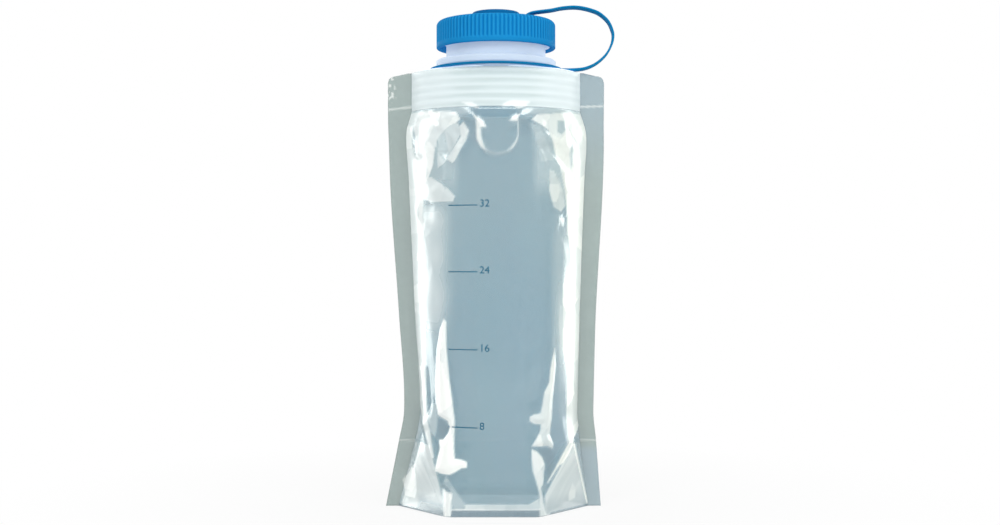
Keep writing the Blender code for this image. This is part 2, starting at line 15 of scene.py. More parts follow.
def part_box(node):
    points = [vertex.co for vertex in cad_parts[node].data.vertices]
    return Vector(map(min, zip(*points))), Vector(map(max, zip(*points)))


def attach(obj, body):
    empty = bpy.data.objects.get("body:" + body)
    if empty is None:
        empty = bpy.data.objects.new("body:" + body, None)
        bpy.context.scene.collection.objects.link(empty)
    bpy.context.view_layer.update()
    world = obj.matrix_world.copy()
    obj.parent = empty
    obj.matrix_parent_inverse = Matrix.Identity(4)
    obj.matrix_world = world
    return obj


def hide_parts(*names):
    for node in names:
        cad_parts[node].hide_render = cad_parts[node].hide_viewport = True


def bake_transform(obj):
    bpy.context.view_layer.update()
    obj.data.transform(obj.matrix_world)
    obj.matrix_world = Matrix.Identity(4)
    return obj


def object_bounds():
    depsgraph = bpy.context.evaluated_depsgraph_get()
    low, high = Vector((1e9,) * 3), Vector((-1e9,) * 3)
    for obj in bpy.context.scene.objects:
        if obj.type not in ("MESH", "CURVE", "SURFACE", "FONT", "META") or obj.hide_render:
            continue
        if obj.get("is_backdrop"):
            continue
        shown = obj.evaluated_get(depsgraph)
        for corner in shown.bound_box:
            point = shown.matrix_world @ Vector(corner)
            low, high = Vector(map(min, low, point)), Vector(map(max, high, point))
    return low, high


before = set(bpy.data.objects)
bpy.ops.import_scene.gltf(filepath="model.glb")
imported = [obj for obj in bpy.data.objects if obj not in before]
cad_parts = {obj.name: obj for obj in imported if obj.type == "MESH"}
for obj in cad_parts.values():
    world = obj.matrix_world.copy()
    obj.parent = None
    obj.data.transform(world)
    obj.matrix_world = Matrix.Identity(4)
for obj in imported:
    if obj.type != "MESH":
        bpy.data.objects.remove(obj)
cad_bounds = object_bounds()

MM = 0.001

# Heights and radii read from the frame
pouch_low, pouch_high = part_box("front_panel")
fitment_low, fitment_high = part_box("spout_fitment")
cap_low, cap_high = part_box("screw_cap")
stud_low, stud_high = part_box("swivel_stud")
ring_low, ring_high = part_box("tether_neck_ring")
eye_low, eye_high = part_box("tether_eye")
strap_low, strap_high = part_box("tether_strap")
POUCH_HEIGHT = pouch_high.z
BOAT_BOTTOM = fitment_low.z
BOAT_HALF_LENGTH = fitment_high.x
LIP_TOP = fitment_high.z
CAP_BOTTOM = cap_low.z
CAP_TOP = cap_high.z
CAP_RADIUS = cap_high.x
HEAD_RADIUS = stud_high.x
HEAD_TOP = stud_high.z
STEM_BOTTOM = stud_low.z
RING_RADIUS = ring_high.x
RING_BOTTOM = ring_low.z
RING_TOP = ring_high.z
EYE_RADIUS = eye_high.x
EYE_BOTTOM = eye_low.z
EYE_TOP = eye_high.z
STRAP_REACH = strap_high.x

# Sizes of the film pouch, as in the part
GAP = 0.3 * MM
FILM = 0.25 * MM
CLEAR_OF_BOAT = 0.8 * MM
BASE_HALF_WIDTH = 60.5 * MM
BASE_HALF_DEPTH = 39 * MM
BASE_EDGE_HALF_WIDTH = 25 * MM
GUSSET_RISE = 37 * MM
GUSSET_HALF_WIDTH = 55.5 * MM
GUSSET_FLAT_HALF_WIDTH = 38 * MM
GUSSET_CREASE_OFFSET = 4 * MM
WAIST_HEIGHT = 54 * MM
WAIST_HALF_WIDTH = 53.3 * MM
WAIST_HALF_DEPTH = 40 * MM
MIDDLE_HEIGHT = 104 * MM
MIDDLE_HALF_WIDTH = 55.2 * MM
MIDDLE_HALF_DEPTH = 39.5 * MM
SHOULDER_HEIGHT = 183 * MM
SHOULDER_HALF_WIDTH = 60 * MM
SHOULDER_HALF_DEPTH = 36.5 * MM
TOP_HALF_WIDTH = 61 * MM
TOP_CORNER_RADIUS = 4 * MM
TOP_CORNER_FALL = 1.8 * MM
TOP_FLAT = 1.5 * MM
CORNER_SEAM_WIDTH = 7.2 * MM
LOW_SEAM_WIDTH = 9 * MM
SHOULDER_SEAM_WIDTH = 10.6 * MM
SEAM_EDGE_DEPTH = 0.8 * MM
SHOULDER_BULGE_HEIGHT = 209 * MM
SHOULDER_BULGE_HALF_WIDTH = 50.6 * MM
FOOT_CORNER = 0.1
FOLD_SHARE = BASE_EDGE_HALF_WIDTH / (BASE_HALF_WIDTH - CORNER_SEAM_WIDTH)

# Sizes of the moulded pieces, as in the part
BOAT_HALF_DEPTH = 31 * MM
BOAT_GROOVE_PITCH = 4.15 * MM
BOAT_FIRST_GROOVE = 1.6 * MM
BOAT_GROOVE_DEPTH = 0.8 * MM
BOAT_WALL = 1.6 * MM
DECK_TOP = RING_BOTTOM - GAP
DECK_THICKNESS = 2 * MM
MOUTH_RADIUS = 26 * MM
NECK_RADIUS = 27.9 * MM
GROOVE_RADIUS = 30.6 * MM
FLANGE_RADIUS = 33.65 * MM
FLANGE_BOTTOM = RING_TOP + GAP
FLANGE_TOP = FLANGE_BOTTOM + 4.1 * MM
FLARE_HEIGHT = 1.7 * MM
FLARE_REACH = FLANGE_RADIUS - 0.8 * MM - NECK_RADIUS
THREAD_LEAD = 5.08 * MM
THREAD_TURNS = 1.4
THREAD_BELOW_LIP = 11.6 * MM
NECK_THREAD_CREST = NECK_RADIUS + 2.3 * MM
CAP_THREAD_CREST = NECK_RADIUS + 0.45 * MM
CAP_THREAD_LATER = 0.6
CAP_RIBS = 90
CAP_RIB_DEPTH = 0.6 * MM
CAP_SHOULDER = 3 * MM
CAP_PLAIN_BAND = 2.8 * MM
CAP_INNER_RADIUS = 31 * MM
PLATE_BOTTOM = LIP_TOP + GAP
PLUG_OUTER = MOUTH_RADIUS - GAP
PLUG_INNER = PLUG_OUTER - 1.1 * MM
PLUG_BOTTOM = PLATE_BOTTOM - 3 * MM
STEM_RADIUS = 6.7 * MM
HEAD_ROUNDING = 1.4 * MM
SOCKET_BOTTOM = STEM_BOTTOM - GAP
BOSS_BOTTOM = SOCKET_BOTTOM - 1.6 * MM
BOSS_RADIUS = 9.2 * MM
STRAP_WIDTH = 9 * MM
STRAP_THICKNESS = RING_TOP - RING_BOTTOM
RING_THINNER = 0.3 * MM
RING_MIDDLE = (RING_BOTTOM + RING_TOP) / 2
EYE_MIDDLE = (EYE_BOTTOM + EYE_TOP) / 2


# Camera, light and floor

CAMERA_DISTANCE = 834 * MM
CAMERA_HEIGHT = 137 * MM
CAMERA_RIGHT_OF_NECK = 2.3 * MM
FOCAL_PIXELS = 1480
PICTURE_WIDTH = 1000
SENSOR_WIDTH = 36

PLAIN_LEVEL = 0.62
GLOSSY_LEVEL = 0.7
LAMP_COLOR = (0.97, 1.0, 0.96)
LAMPS = (
    # Name, place, aim, width, height, power, lights surfaces, seen in reflections
    ("left_strip", (-0.5, 0.68, 0.3), (0, 0.68, 0.3), 1.15, 0.9, 12.0, False, True),
    ("right_strip", (0.5, 0.68, 0.3), (0, 0.68, 0.3), 1.15, 0.9, 12.0, False, True),
    ("top_box", (0, -0.35, 1.1), (0, 0, 0.25), 0.9, 0.6, 6.8, False, True),
    ("key", (-0.5, -1.1, 1.0), (0, 0, 0.15), 0.7, 0.7, 6.5, True, False),
    ("fill", (0.8, -1.0, 0.5), (0, 0, 0.15), 0.8, 0.8, 5.5, True, False),
)


def add_camera():
    camera = bpy.data.cameras.new("camera")
    camera.sensor_width = SENSOR_WIDTH
    camera.lens = FOCAL_PIXELS * SENSOR_WIDTH / PICTURE_WIDTH
    holder = bpy.data.objects.new("camera", camera)
    holder.location = (CAMERA_RIGHT_OF_NECK, -CAMERA_DISTANCE, CAMERA_HEIGHT)
    holder.rotation_euler = (math.radians(90), 0, 0)
    bpy.context.collection.objects.link(holder)
    bpy.context.scene.camera = holder


def add_lamps():
    for name, place, aim, width, height, power, diffuse, glossy in LAMPS:
        lamp = bpy.data.lights.new(name, "AREA")
        lamp.shape = "RECTANGLE"
        lamp.size = width
        lamp.size_y = height
        lamp.energy = power
        lamp.color = LAMP_COLOR
        holder = bpy.data.objects.new(name, lamp)
        holder.location = place
        toward = Vector(aim) - Vector(place)
        holder.rotation_euler = toward.to_track_quat("-Z", "Y").to_euler()
        holder.visible_camera = False
        holder.visible_diffuse = diffuse
        holder.visible_glossy = glossy
        bpy.context.collection.objects.link(holder)


def add_surroundings():
    """White as the camera sees it, also through the film, and softer as light on the bottle."""
    world = bpy.data.worlds.new("studio")
    bpy.context.scene.world = world
    world.use_nodes = True
    graph = Graph(world.node_tree, "Background")
    seen = graph.math("MAXIMUM", graph.ray("Is Camera Ray"), graph.ray("Is Transmission Ray"))
    level = PLAIN_LEVEL + graph.ray("Is Glossy Ray") * (GLOSSY_LEVEL - PLAIN_LEVEL)
    graph.set(color=(1, 1, 1), strength=graph.math("MAXIMUM", seen, level))


def add_floor():
    """A pale floor that is white where the camera sees it away from the bottle."""
    bm = bmesh.new()
    bmesh.ops.create_circle(bm, cap_ends=True, segments=64, radius=12)
    new_piece("floor", bm, floor_material())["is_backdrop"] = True


def floor_material():
    material, graph = new_material("pale_floor")
    graph.set(base_color=(0.8, 0.8, 0.8), roughness=0.8)
    away = graph.node("ShaderNodeVectorMath", {"operation": "LENGTH"}, [graph.place()], "Value")
    far = graph.ramp(away, (0.08, 0.0), (0.3, 1.0))
    share = graph.ray("Is Camera Ray") * (0.88 + far * 0.12)
    glow = graph.node("ShaderNodeEmission", {}, {})
    mixed = graph.node("ShaderNodeMixShader", {}, [share, graph.shader.outputs[0], glow])
    graph.feed(graph.tree.nodes["Material Output"].inputs["Surface"], mixed)
    return material


# Shader maths


class Socket:
    """A node's output or a number, which takes part in sums with other ones."""

    def __init__(self, graph, value):
        self.graph = graph
        self.value = value

    def __add__(self, other):
        return self.graph.math("ADD", self, other)

    def __radd__(self, other):
        return self.graph.math("ADD", self, other)

    def __mul__(self, other):
        return self.graph.math("MULTIPLY", self, other)

    def __sub__(self, other):
        return self.graph.math("SUBTRACT", self, other)

    def __rsub__(self, other):
        return self.graph.math("SUBTRACT", other, self)

    def clamped(self):
        return self.graph.node("ShaderNodeClamp", {}, {"Value": self})


class Graph:
    """A tree of shader nodes, made one at a time with their settings and inputs."""

    def __init__(self, tree, shader):
        self.tree = tree
        self.shader = tree.nodes[shader]

    def node(self, kind, settings, inputs, output=0):
        made = self.tree.nodes.new(kind)
        for name, value in settings.items():
            setattr(made, name, value)
        pairs = inputs.items() if isinstance(inputs, dict) else enumerate(inputs)
        for name, value in pairs:
            self.feed(made.inputs[name], value)
        return Socket(self, made.outputs[output])

    def feed(self, target, value):
        if isinstance(value, Socket):
            value = value.value
        if isinstance(value, bpy.types.NodeSocket):
            self.tree.links.new(value, target)
        elif isinstance(value, tuple) and len(value) == 3 and len(target.default_value) == 4:
            target.default_value = (*value, 1)
        else:
            target.default_value = value

    def set(self, **inputs):
        """Fill the shader's own sockets, such as base_color or roughness."""
        for name, value in inputs.items():
            self.feed(self.shader.inputs[name.replace("_", " ").title().replace("Ior", "IOR")], value)

    def math(self, operation, first, second):
        return self.node("ShaderNodeMath", {"operation": operation}, [first, second])

    def ray(self, kind):
        return self.node("ShaderNodeLightPath", {}, {}, kind)

    def place(self):
        return self.node("ShaderNodeTexCoord", {}, {}, "Object")

    def along(self, axis):
        return self.node("ShaderNodeSeparateXYZ", {}, [self.place()], axis)

    def stretched(self, scale):
        return self.node("ShaderNodeMapping", {}, {"Vector": self.place(), "Scale": scale})

    def noise(self, scale, detail=3.0, roughness=0.5, where=None):
        inputs = {
            "Vector": where or self.place(),
            "Scale": scale,
            "Detail": detail,
            "Roughness": roughness,
        }
        return self.node("ShaderNodeTexNoise", {"normalize": True}, inputs, "Fac")

    def attribute(self, name):
        return self.node("ShaderNodeAttribute", {"attribute_name": name}, {}, "Fac")

    def ramp(self, value, start, end):
        """From one (value, result) pair to another, level beyond both."""
        inputs = {"Value": value, "From Min": start[0], "From Max": end[0]}
        inputs.update({"To Min": start[1], "To Max": end[1]})
        return self.node("ShaderNodeMapRange", {"clamp": True}, inputs)

    def mix(self, share, first, second):
        settings = {"data_type": "RGBA"}
        return self.node("ShaderNodeMix", settings, {0: share, 6: first, 7: second}, 2)

    def bump(self, height, distance, strength=1.0):
        inputs = {"Height": height, "Distance": distance, "Strength": strength}
        self.set(normal=self.node("ShaderNodeBump", {}, inputs))


def new_material(name):
    material = bpy.data.materials.new(name)
    material.use_nodes = True
    return material, Graph(material.node_tree, "Principled BSDF")


# Mesh helpers


def new_piece(name, bm, material, smooth_angle=40):
    mesh = bpy.data.meshes.new(name)
    bm.to_mesh(mesh)
    bm.free()
    mesh.shade_smooth()
    mesh.set_sharp_from_angle(angle=math.radians(smooth_angle))
    mesh.materials.append(material)
    piece = bpy.data.objects.new(name, mesh)
    bpy.context.collection.objects.link(piece)
    return piece


def mapped_grid(columns, rows, place, closed=False):
    """A grid whose corners (across, up), each from 0 to 1, are moved to place(across, up)."""
    bm = bmesh.new()
    bmesh.ops.create_grid(bm, x_segments=columns, y_segments=rows, size=0.5)
    for vertex in bm.verts:
        vertex.co = place(vertex.co.x + 0.5, vertex.co.y + 0.5)
    if closed:
        bmesh.ops.remove_doubles(bm, verts=bm.verts, dist=0.002 * MM)
    return bm


def turned(profile, steps):
    """A closed profile of (radius, height) points turned about the Z axis."""
    bm = bmesh.new()
    points = [bm.verts.new((radius, 0, height)) for radius, height in profile]
    edges = [bm.edges.new(pair) for pair in zip(points, points[1:])]
    if profile[0][0] > 0:
        edges.append(bm.edges.new((points[-1], points[0])))
    bmesh.ops.spin(
        bm,
        geom=points + edges,
        cent=(0, 0, 0),
        axis=(0, 0, 1),
        angle=2 * math.pi,
        steps=steps,
        use_merge=True,
    )
    bmesh.ops.remove_doubles(bm, verts=bm.verts, dist=0.002 * MM)
    bmesh.ops.recalc_face_normals(bm, faces=bm.faces)
    return bm


def helix(root_radius, crest_radius, z_start, turn_start):
    """One thread ridge with flat ends, which rises as it turns."""
    steps = round(THREAD_TURNS * 60)
    bm = bmesh.new()
    profile = (
        (root_radius, -1.05 * MM),
        (crest_radius, -0.6 * MM),
        (crest_radius, 0.6 * MM),
        (root_radius, 1.05 * MM),
    )
    corners = [bm.verts.new((radius, 0, z_start + rise)) for radius, rise in profile]
    face = bm.faces.new(corners)
    start = Matrix.Rotation(turn_start, 3, "Z")
    bmesh.ops.rotate(bm, verts=corners, cent=(0, 0, 0), matrix=start)
    bmesh.ops.spin(
        bm,
        geom=[face] + list(face.edges) + corners,
        cent=(0, 0, 0),
        axis=(0, 0, 1),
        dvec=(0, 0, THREAD_LEAD * THREAD_TURNS / steps),
        angle=2 * math.pi * THREAD_TURNS,
        steps=steps,
    )
    bmesh.ops.recalc_face_normals(bm, faces=bm.faces)
    return bm


def face_along(bm, direction):
    """Turn the faces of an open sheet so that they look along a direction on the whole."""
    bmesh.ops.recalc_face_normals(bm, faces=bm.faces)
    bm.normal_update()
    if sum(face.normal.dot(direction) * face.calc_area() for face in bm.faces) < 0:
        bmesh.ops.reverse_faces(bm, faces=bm.faces)
    return bm


def set_attribute(piece, name, value_at):
    """A number on each corner of a piece, worked out from its place."""
    attribute = piece.data.attributes.new(name, "FLOAT", "POINT")
    for i, vertex in enumerate(piece.data.vertices):
        attribute.data[i].value = value_at(vertex.co)


def add_thickness(piece, thickness, offset=-1.0):
    wall = piece.modifiers.new("thickness", "SOLIDIFY")
    wall.thickness = thickness
    wall.offset = offset


def smooth_step(value):
    share = min(max(value, 0.0), 1.0)
    return share * share * (3 - 2 * share)


def between(low, high, value):
    """0 below low, 1 above high and a smooth rise from one to the other."""
    return smooth_step((value - low) / (high - low))


def stations(low, high, count):
    return [low + (high - low) * i / count for i in range(count + 1)]


def curve_through(points, where):
    """A smooth curve through (position, value) points that rise in position."""
    where = min(max(where, points[0][0]), points[-1][0])
    last = len(points) - 1
    i = max(k for k in range(last) if points[k][0] <= where)

    def slope(k):
        before, after = points[max(k - 1, 0)], points[min(k + 1, last)]
        return (after[1] - before[1]) / (after[0] - before[0])

    (start, low), (end, high) = points[i], points[i + 1]
    span = end - start
    t = (where - start) / span
    return (
        (2 * t**3 - 3 * t**2 + 1) * low
        + (t**3 - 2 * t**2 + t) * span * slope(i)
        + (3 * t**2 - 2 * t**3) * high
        + (t**3 - t**2) * span * slope(i + 1)
    )


def lens_depth(across, half_length, half_depth):
    radius = (half_length**2 + half_depth**2) / (2 * half_depth)
    return math.sqrt(max(radius**2 - across**2, 0)) - (radius - half_depth)


# Outline of the pouch


def outer_half_width(z):
    points = (
        (0, BASE_HALF_WIDTH),
        (GUSSET_RISE, GUSSET_HALF_WIDTH),
        (WAIST_HEIGHT, WAIST_HALF_WIDTH),
        (MIDDLE_HEIGHT, MIDDLE_HALF_WIDTH),
        (SHOULDER_HEIGHT, SHOULDER_HALF_WIDTH),
        (POUCH_HEIGHT, TOP_HALF_WIDTH),
    )
    return curve_through(points, z)


def inner_half_width(z):
    beside_boat = BOAT_HALF_LENGTH + CLEAR_OF_BOAT
    points = (
        (0, BASE_HALF_WIDTH - CORNER_SEAM_WIDTH),
        (GUSSET_RISE, GUSSET_HALF_WIDTH - LOW_SEAM_WIDTH),
        (WAIST_HEIGHT, WAIST_HALF_WIDTH - LOW_SEAM_WIDTH),
        (MIDDLE_HEIGHT, MIDDLE_HALF_WIDTH - LOW_SEAM_WIDTH),
        (SHOULDER_HEIGHT, SHOULDER_HALF_WIDTH - SHOULDER_SEAM_WIDTH),
        (SHOULDER_BULGE_HEIGHT, SHOULDER_BULGE_HALF_WIDTH),
        (BOAT_BOTTOM, beside_boat),
        (BOAT_BOTTOM + 4 * MM, beside_boat),
        (POUCH_HEIGHT, beside_boat),
    )
    return curve_through(points, z)


def middle_depth(z):
    round_boat = BOAT_HALF_DEPTH + CLEAR_OF_BOAT
    points = (
        (0, BASE_HALF_DEPTH),
        (WAIST_HEIGHT, WAIST_HALF_DEPTH),
        (MIDDLE_HEIGHT, MIDDLE_HALF_DEPTH),
        (SHOULDER_HEIGHT, SHOULDER_HALF_DEPTH),
        (BOAT_BOTTOM, round_boat),
        (POUCH_HEIGHT, round_boat),
    )
    return curve_through(points, z)


def sway(z):
    """How far the limp film leans to the right at one height."""
    points = (
        (0, -1.4 * MM),
        (55 * MM, 1.6 * MM),
        (110 * MM, 0.8 * MM),
        (170 * MM, 0.4 * MM),
        (200 * MM, 0.3 * MM),
        (215 * MM, 0.0),
    )
    return curve_through(points, z)


def rounded_corner(rise):
    """A slope that turns level at 1, with the turn rounded."""
    start = 1 - FOOT_CORNER
    if rise <= start:
        return rise
    t = min((rise - start) / (2 * FOOT_CORNER), 1)
    return start + 2 * FOOT_CORNER * (t - t**2 / 2)


def wall_point(side, share, z):
    """A point on the plain wall of the pouch. side is -1 at the front, share runs -1 to 1."""
    half_width = inner_half_width(z)
    depth = middle_depth(z)
    lens = lens_depth(share * half_width, half_width, depth) / depth
    folded = rounded_corner((1 - abs(share)) / (1 - FOLD_SHARE))
    low = 1 - smooth_step(z / GUSSET_RISE)
    bulge = low * folded + (1 - low) * lens
    reach = SEAM_EDGE_DEPTH + (depth - SEAM_EDGE_DEPTH) * bulge
    return Vector((share * half_width, side * reach, z))


# Creases of the film


class Patch:
    """A creased place in the film: its outline, how white its painted highlight is (in SHADES how dark its
    painted shade is), how far it stands out.
    """

    def __init__(self, white, rise, outline):
        self.white = white
        self.rise = rise * MM
        self.outline = [(x * MM, z * MM) for x, z in outline]
        self.low_x = min(x for x, z in self.outline) - 2 * MM
        self.high_x = max(x for x, z in self.outline) + 2 * MM
        self.low_z = min(z for x, z in self.outline) - 2 * MM
        self.high_z = max(z for x, z in self.outline) + 2 * MM

    def inside(self, x, z):
        """How far (x, z) lies inside the outline; below 0 outside it."""
        if not (self.low_x < x < self.high_x and self.low_z < z < self.high_z):
            return -2 * MM
        nearest = math.inf
        within = False
        for (ax, az), (bx, bz) in zip(self.outline, self.outline[1:] + self.outline[:1]):
            run_x, run_z = bx - ax, bz - az
            share = ((x - ax) * run_x + (z - az) * run_z) / (run_x**2 + run_z**2)
            share = min(max(share, 0.0), 1.0)
            nearest = min(nearest, math.hypot(x - ax - share * run_x, z - az - share * run_z))
            if (az > z) != (bz > z) and x < ax + (z - az) / run_z * run_x:
                within = not within
        return nearest if within else -nearest


# Outlines are (x, z) in millimetres as seen from the front; a rise is in millimetres too
# Painted highlight on a white facet of the left foot, on the wall and the margin
FOOT_HIGHLIGHT = Patch(0.8, 0.0, (
    (-47.1, 23.6), (-45.6, 22.1), (-44.2, 18.2), (-43.7, 10.5), (-44.7, 6.1), (-51.5, 6.1), (-51.5, 9.5),
    (-52.5, 14.9), (-49, 19.2),
))
PATCHES = (
    # The long fold up the left side, a narrow one beside it and its end in the foot, with painted highlights
    Patch(1.05, 1.5, (
        (-28.4, 107), (-26.8, 105), (-26.6, 90), (-25, 73.5), (-23.5, 62.7), (-22, 51.3), (-22.4, 36),
        (-22, 31.3), (-18.1, 30.8), (-15.4, 29.7), (-15.4, 26.5), (-18.6, 25.9), (-21.9, 23.8),
        (-25.1, 22.1), (-29.5, 22.1), (-33.2, 23.2), (-32.2, 29.2), (-30.5, 35.6), (-31, 40.5),
        (-28.4, 41), (-25.7, 44.8), (-25.1, 47.5), (-26.2, 50.8), (-29.5, 52.4), (-31.6, 53.5),
        (-32.7, 60), (-33.2, 70.8), (-32.2, 89.7), (-30.5, 100.5),
    )),
    Patch(0.52, 0.8, (
        (-34.9, 60.5), (-32.7, 59.4), (-31.6, 51.9), (-32.2, 45.4), (-33.2, 41), (-34.9, 42.7),
        (-37, 48), (-38.1, 51.3), (-36.5, 55.1),
    )),
    Patch(1.0, 0.7, (
        (-28.9, 15.1), (-26.2, 13.4), (-23.5, 12.9), (-23.5, 8.6), (-24, 0), (-27.8, 0), (-28.4, 8.6),
    )),
    # The long fold up the right side and the lens below it, with painted highlights
    Patch(0.8, 1.5, (
        (32.2, 91.9), (32.7, 81.6), (32.2, 73.5), (31.1, 62.7), (30.5, 51.9), (29.5, 43.8),
        (31.6, 38.4), (31.1, 35.6), (27.8, 37.3), (24.1, 37.3), (19.2, 37.8), (21.9, 42.1),
        (24.1, 46.5), (24.1, 49.2), (20.8, 49.7), (18.1, 51.3), (18.1, 54), (20.3, 55.1),
        (24.1, 55.7), (25.1, 60), (26.2, 67), (28.9, 71.9), (29.5, 78.9), (30.5, 84.3),
    )),
    Patch(0.8, 0.8, (
        (19.2, 36.7), (22.4, 35.1), (25.1, 31.9), (26.8, 27.5), (26.2, 22.1), (25.7, 16.7),
        (24.6, 15.6), (25.7, 8.6), (27.3, 0), (23.5, 0), (23.5, 8.6), (23, 14), (21.4, 19.4),
        (19.7, 24.8), (19.2, 31.3),
    )),
    # Painted highlights on the crumpled shoulders, and on the strips that run down from them beside the seams
    Patch(0.85, 0.0, (
        (-55, 222), (-21.4, 219.5), (-19.2, 215), (-22, 212.5), (-25.1, 211.5), (-28.4, 208.5),
        (-31.6, 204.5), (-33.2, 198), (-34.3, 190), (-36.5, 184.5), (-38.6, 179), (-39.7, 171),
        (-40.3, 162.5), (-38.6, 157.5), (-40.3, 149), (-38.6, 141), (-38.6, 95), (-38.6, 78),
        (-38.1, 62), (-37.6, 50), (-36, 45), (-33.5, 30), (-35, 30), (-40, 45), (-43.5, 60), (-46, 90),
        (-55, 117),
    )),
    Patch(0.85, 0.0, (
        (19.2, 214.5), (22.4, 218), (27.3, 218.5), (41.4, 220.5), (55, 221), (55, 60), (44.5, 41),
        (42, 38.4), (39.7, 38.4), (38.6, 51.9), (39.2, 73.5), (36.5, 90), (36.5, 125), (40.8, 137),
        (40.8, 144), (39.2, 154.5), (39.2, 163), (37.6, 176), (34.9, 190), (32.7, 195), (31.1, 203),
        (28.4, 209.5), (24.6, 212),
    )),
    # Clear places in them, where the painted highlight is taken away
    Patch(-0.6, 0.0, ((-46.2, 214), (-44.8, 207), (-44.2, 199), (-45, 196), (-46.8, 203))),
    Patch(-0.5, 0.0, ((34, 215), (37.8, 215), (38.3, 209.7), (36, 207), (33.8, 208.6))),
    Patch(-0.5, 0.0, ((42, 206), (43, 202), (42.5, 191), (41.4, 188.5), (40.8, 197))),
    # Fainter painted highlights on facets further in
    Patch(0.6, 0.0, (
        (-32.2, 209.7), (-25.7, 213), (-20.3, 213), (-18.1, 208.6), (-21.4, 202), (-25.7, 194.6),
        (-27.8, 190.8), (-32.2, 188), (-32.2, 197.8),
    )),
    Patch(0.75, 0.6, (
        (-17.6, 214), (-14.3, 208.6), (-15.9, 203.2), (-19.2, 197.8), (-21.9, 192.4), (-23.5, 190.8),
        (-27.3, 193.5), (-24.6, 197.8), (-21.4, 202.1), (-19.2, 205.9), (-20.3, 210.8),
    )),
    Patch(0.68, 0.4, (
        (-39, 185), (-34.9, 183.8), (-26.2, 177.8), (-21.9, 173), (-23, 169.7), (-35.4, 169.7),
        (-40, 172),
    )),
    Patch(0.55, 0.3, ((-36.5, 157.3), (-33.2, 155.6), (-29.5, 150.2), (-32.2, 148.6), (-38.6, 151.3))),
    Patch(0.6, 0.3, ((-35.4, 136.2), (-32.7, 135.1), (-33.8, 130.2), (-36.5, 130.2))),
    Patch(0.42, 0.5, (
        (18.6, 213), (24.6, 211.3), (28.4, 203.2), (34.9, 187), (37.6, 176.2), (34.9, 177.3),
        (28.4, 192.4), (26.8, 189.7), (24.6, 190.8), (22.4, 200.5),
    )),
    Patch(0.68, 0.4, (
        (28.9, 188), (32.2, 187), (37.5, 175.5), (38.4, 168), (35.8, 164.4), (31.5, 167), (28.9, 176.2),
    )),
    Patch(0.45, 0.3, ((34.9, 161), (36.5, 162.7), (38.1, 158.9), (37.6, 155.6), (35.4, 156.7))),
    Patch(0.3, 0.3, ((33.8, 151.3), (35.9, 151.9), (39.7, 146.5), (40.3, 137.3), (37, 138.4), (34.3, 143.8))),
    # Painted highlights on the wings beside the tongue, the folds under the boat and the seal of the foot
    Patch(0.9, 0.5, ((-13.8, 219.4), (-10.5, 216.5), (-6.2, 213), (-4.8, 210), (-9, 210), (-10.5, 213.5))),
    Patch(0.9, 0.5, ((6.8, 213.4), (9.5, 216.2), (13.2, 218), (15.9, 220), (12.5, 216), (12.2, 213.2))),
    Patch(0.68, 0.0, ((-17, 7.2), (17.5, 7.2), (23.5, 10.5), (24, 4.2), (-17, 4.2))),
    Patch(0.42, 0.0, ((-27, 21.5), (-14.6, 5.4), (-15, 4.2), (-24, 4.2), (-24, 13), (-29, 17))),
    Patch(0.85, 0.0, ((-24, 4.7), (24, 4.7), (24, 3.7), (-24, 3.7))),
    # Painted highlight streaks along the slanted weld of the right foot, and a painted glint in it
    Patch(0.95, 0.0, ((27.6, 17.6), (28.8, 17.6), (36, 27.5), (42.5, 38.5), (43.4, 41), (41.8, 41), (34, 28))),
    Patch(0.95, 0.0, ((33.8, 25.4), (37, 27), (40.5, 31.5), (43, 36.5), (43.4, 41), (41.5, 38), (38, 32.4))),
    Patch(0.45, 0.0, ((27.2, 11.5), (28.2, 11.5), (33, 18.5), (38.4, 27.5), (37.4, 28.2), (31.8, 19.5))),
    Patch(0.4, 0.0, ((42.3, 15.5), (44.6, 12), (44.2, 6), (40.2, 5), (40.2, 9.5))),
    FOOT_HIGHLIGHT,
)
# Painted highlights of bright folds that lap over the band's lower edge
GLINTS = (
    Patch(0.7, 0.0, ((-18.6, 224.6), (-16, 222.7), (-10, 220.2), (-8.5, 221.3), (-13, 224.3))),
    Patch(0.8, 0.0, (
        (2.2, 221.2), (5.5, 224.2), (9, 225.2), (18.6, 224.9), (16.5, 221.8), (12, 220.2), (9, 222), (5, 221.3),
    )),
)
# Painted shade: beside the tongue, and inside the folds
SHADES = (
    Patch(0.35, 0.0, (
        (-19.7, 217.8), (-15.9, 216.7), (-12.7, 214), (-11.1, 208.6), (-10.5, 200.5), (-13.8, 197.8),
        (-14.9, 205.9), (-17.6, 213),
    )),
    Patch(0.4, 0.0, ((13.2, 213), (18.6, 215.6), (23, 218.4), (19.7, 213), (18.6, 206), (12.7, 206))),
    Patch(0.7, 0.0, ((-31.1, 52.4), (-27.3, 50.8), (-25.1, 47.5), (-27, 42.2), (-30.5, 40.5), (-31.6, 46))),
    Patch(0.8, 0.0, ((22.4, 36.8), (30.5, 36.2), (32.7, 30.3), (29.5, 19.4), (27.3, 18.5), (27.3, 27.5))),
)
PATCH_EDGE = 0.7 * MM
PATCH_FLANK = 3 * MM
BACK_SHARE = 0.5
# How much of the front's painted highlight and whitening the back wall gets
BACK_HIGHLIGHT = 0.2

# The pinched tongue of film under the middle of the fitment
TONGUE_MIDDLE = 0.9 * MM
TONGUE_HALF_WIDTH = 11.4 * MM
TONGUE_BOTTOM = 195.3 * MM
TONGUE_RISE = 1.6 * MM
TONGUE_EDGE = 2.2 * MM

# Crumpled film: the size of its facets, how far they tilt and where they lie
CREASE_CELL = (14 * MM, 18 * MM)
CREASE_SLOPE = 0.42
FINE_CELL = (6 * MM, 9 * MM)
FINE_SLOPE = 0.1
SHADE_CELL = (9 * MM, 15 * MM)


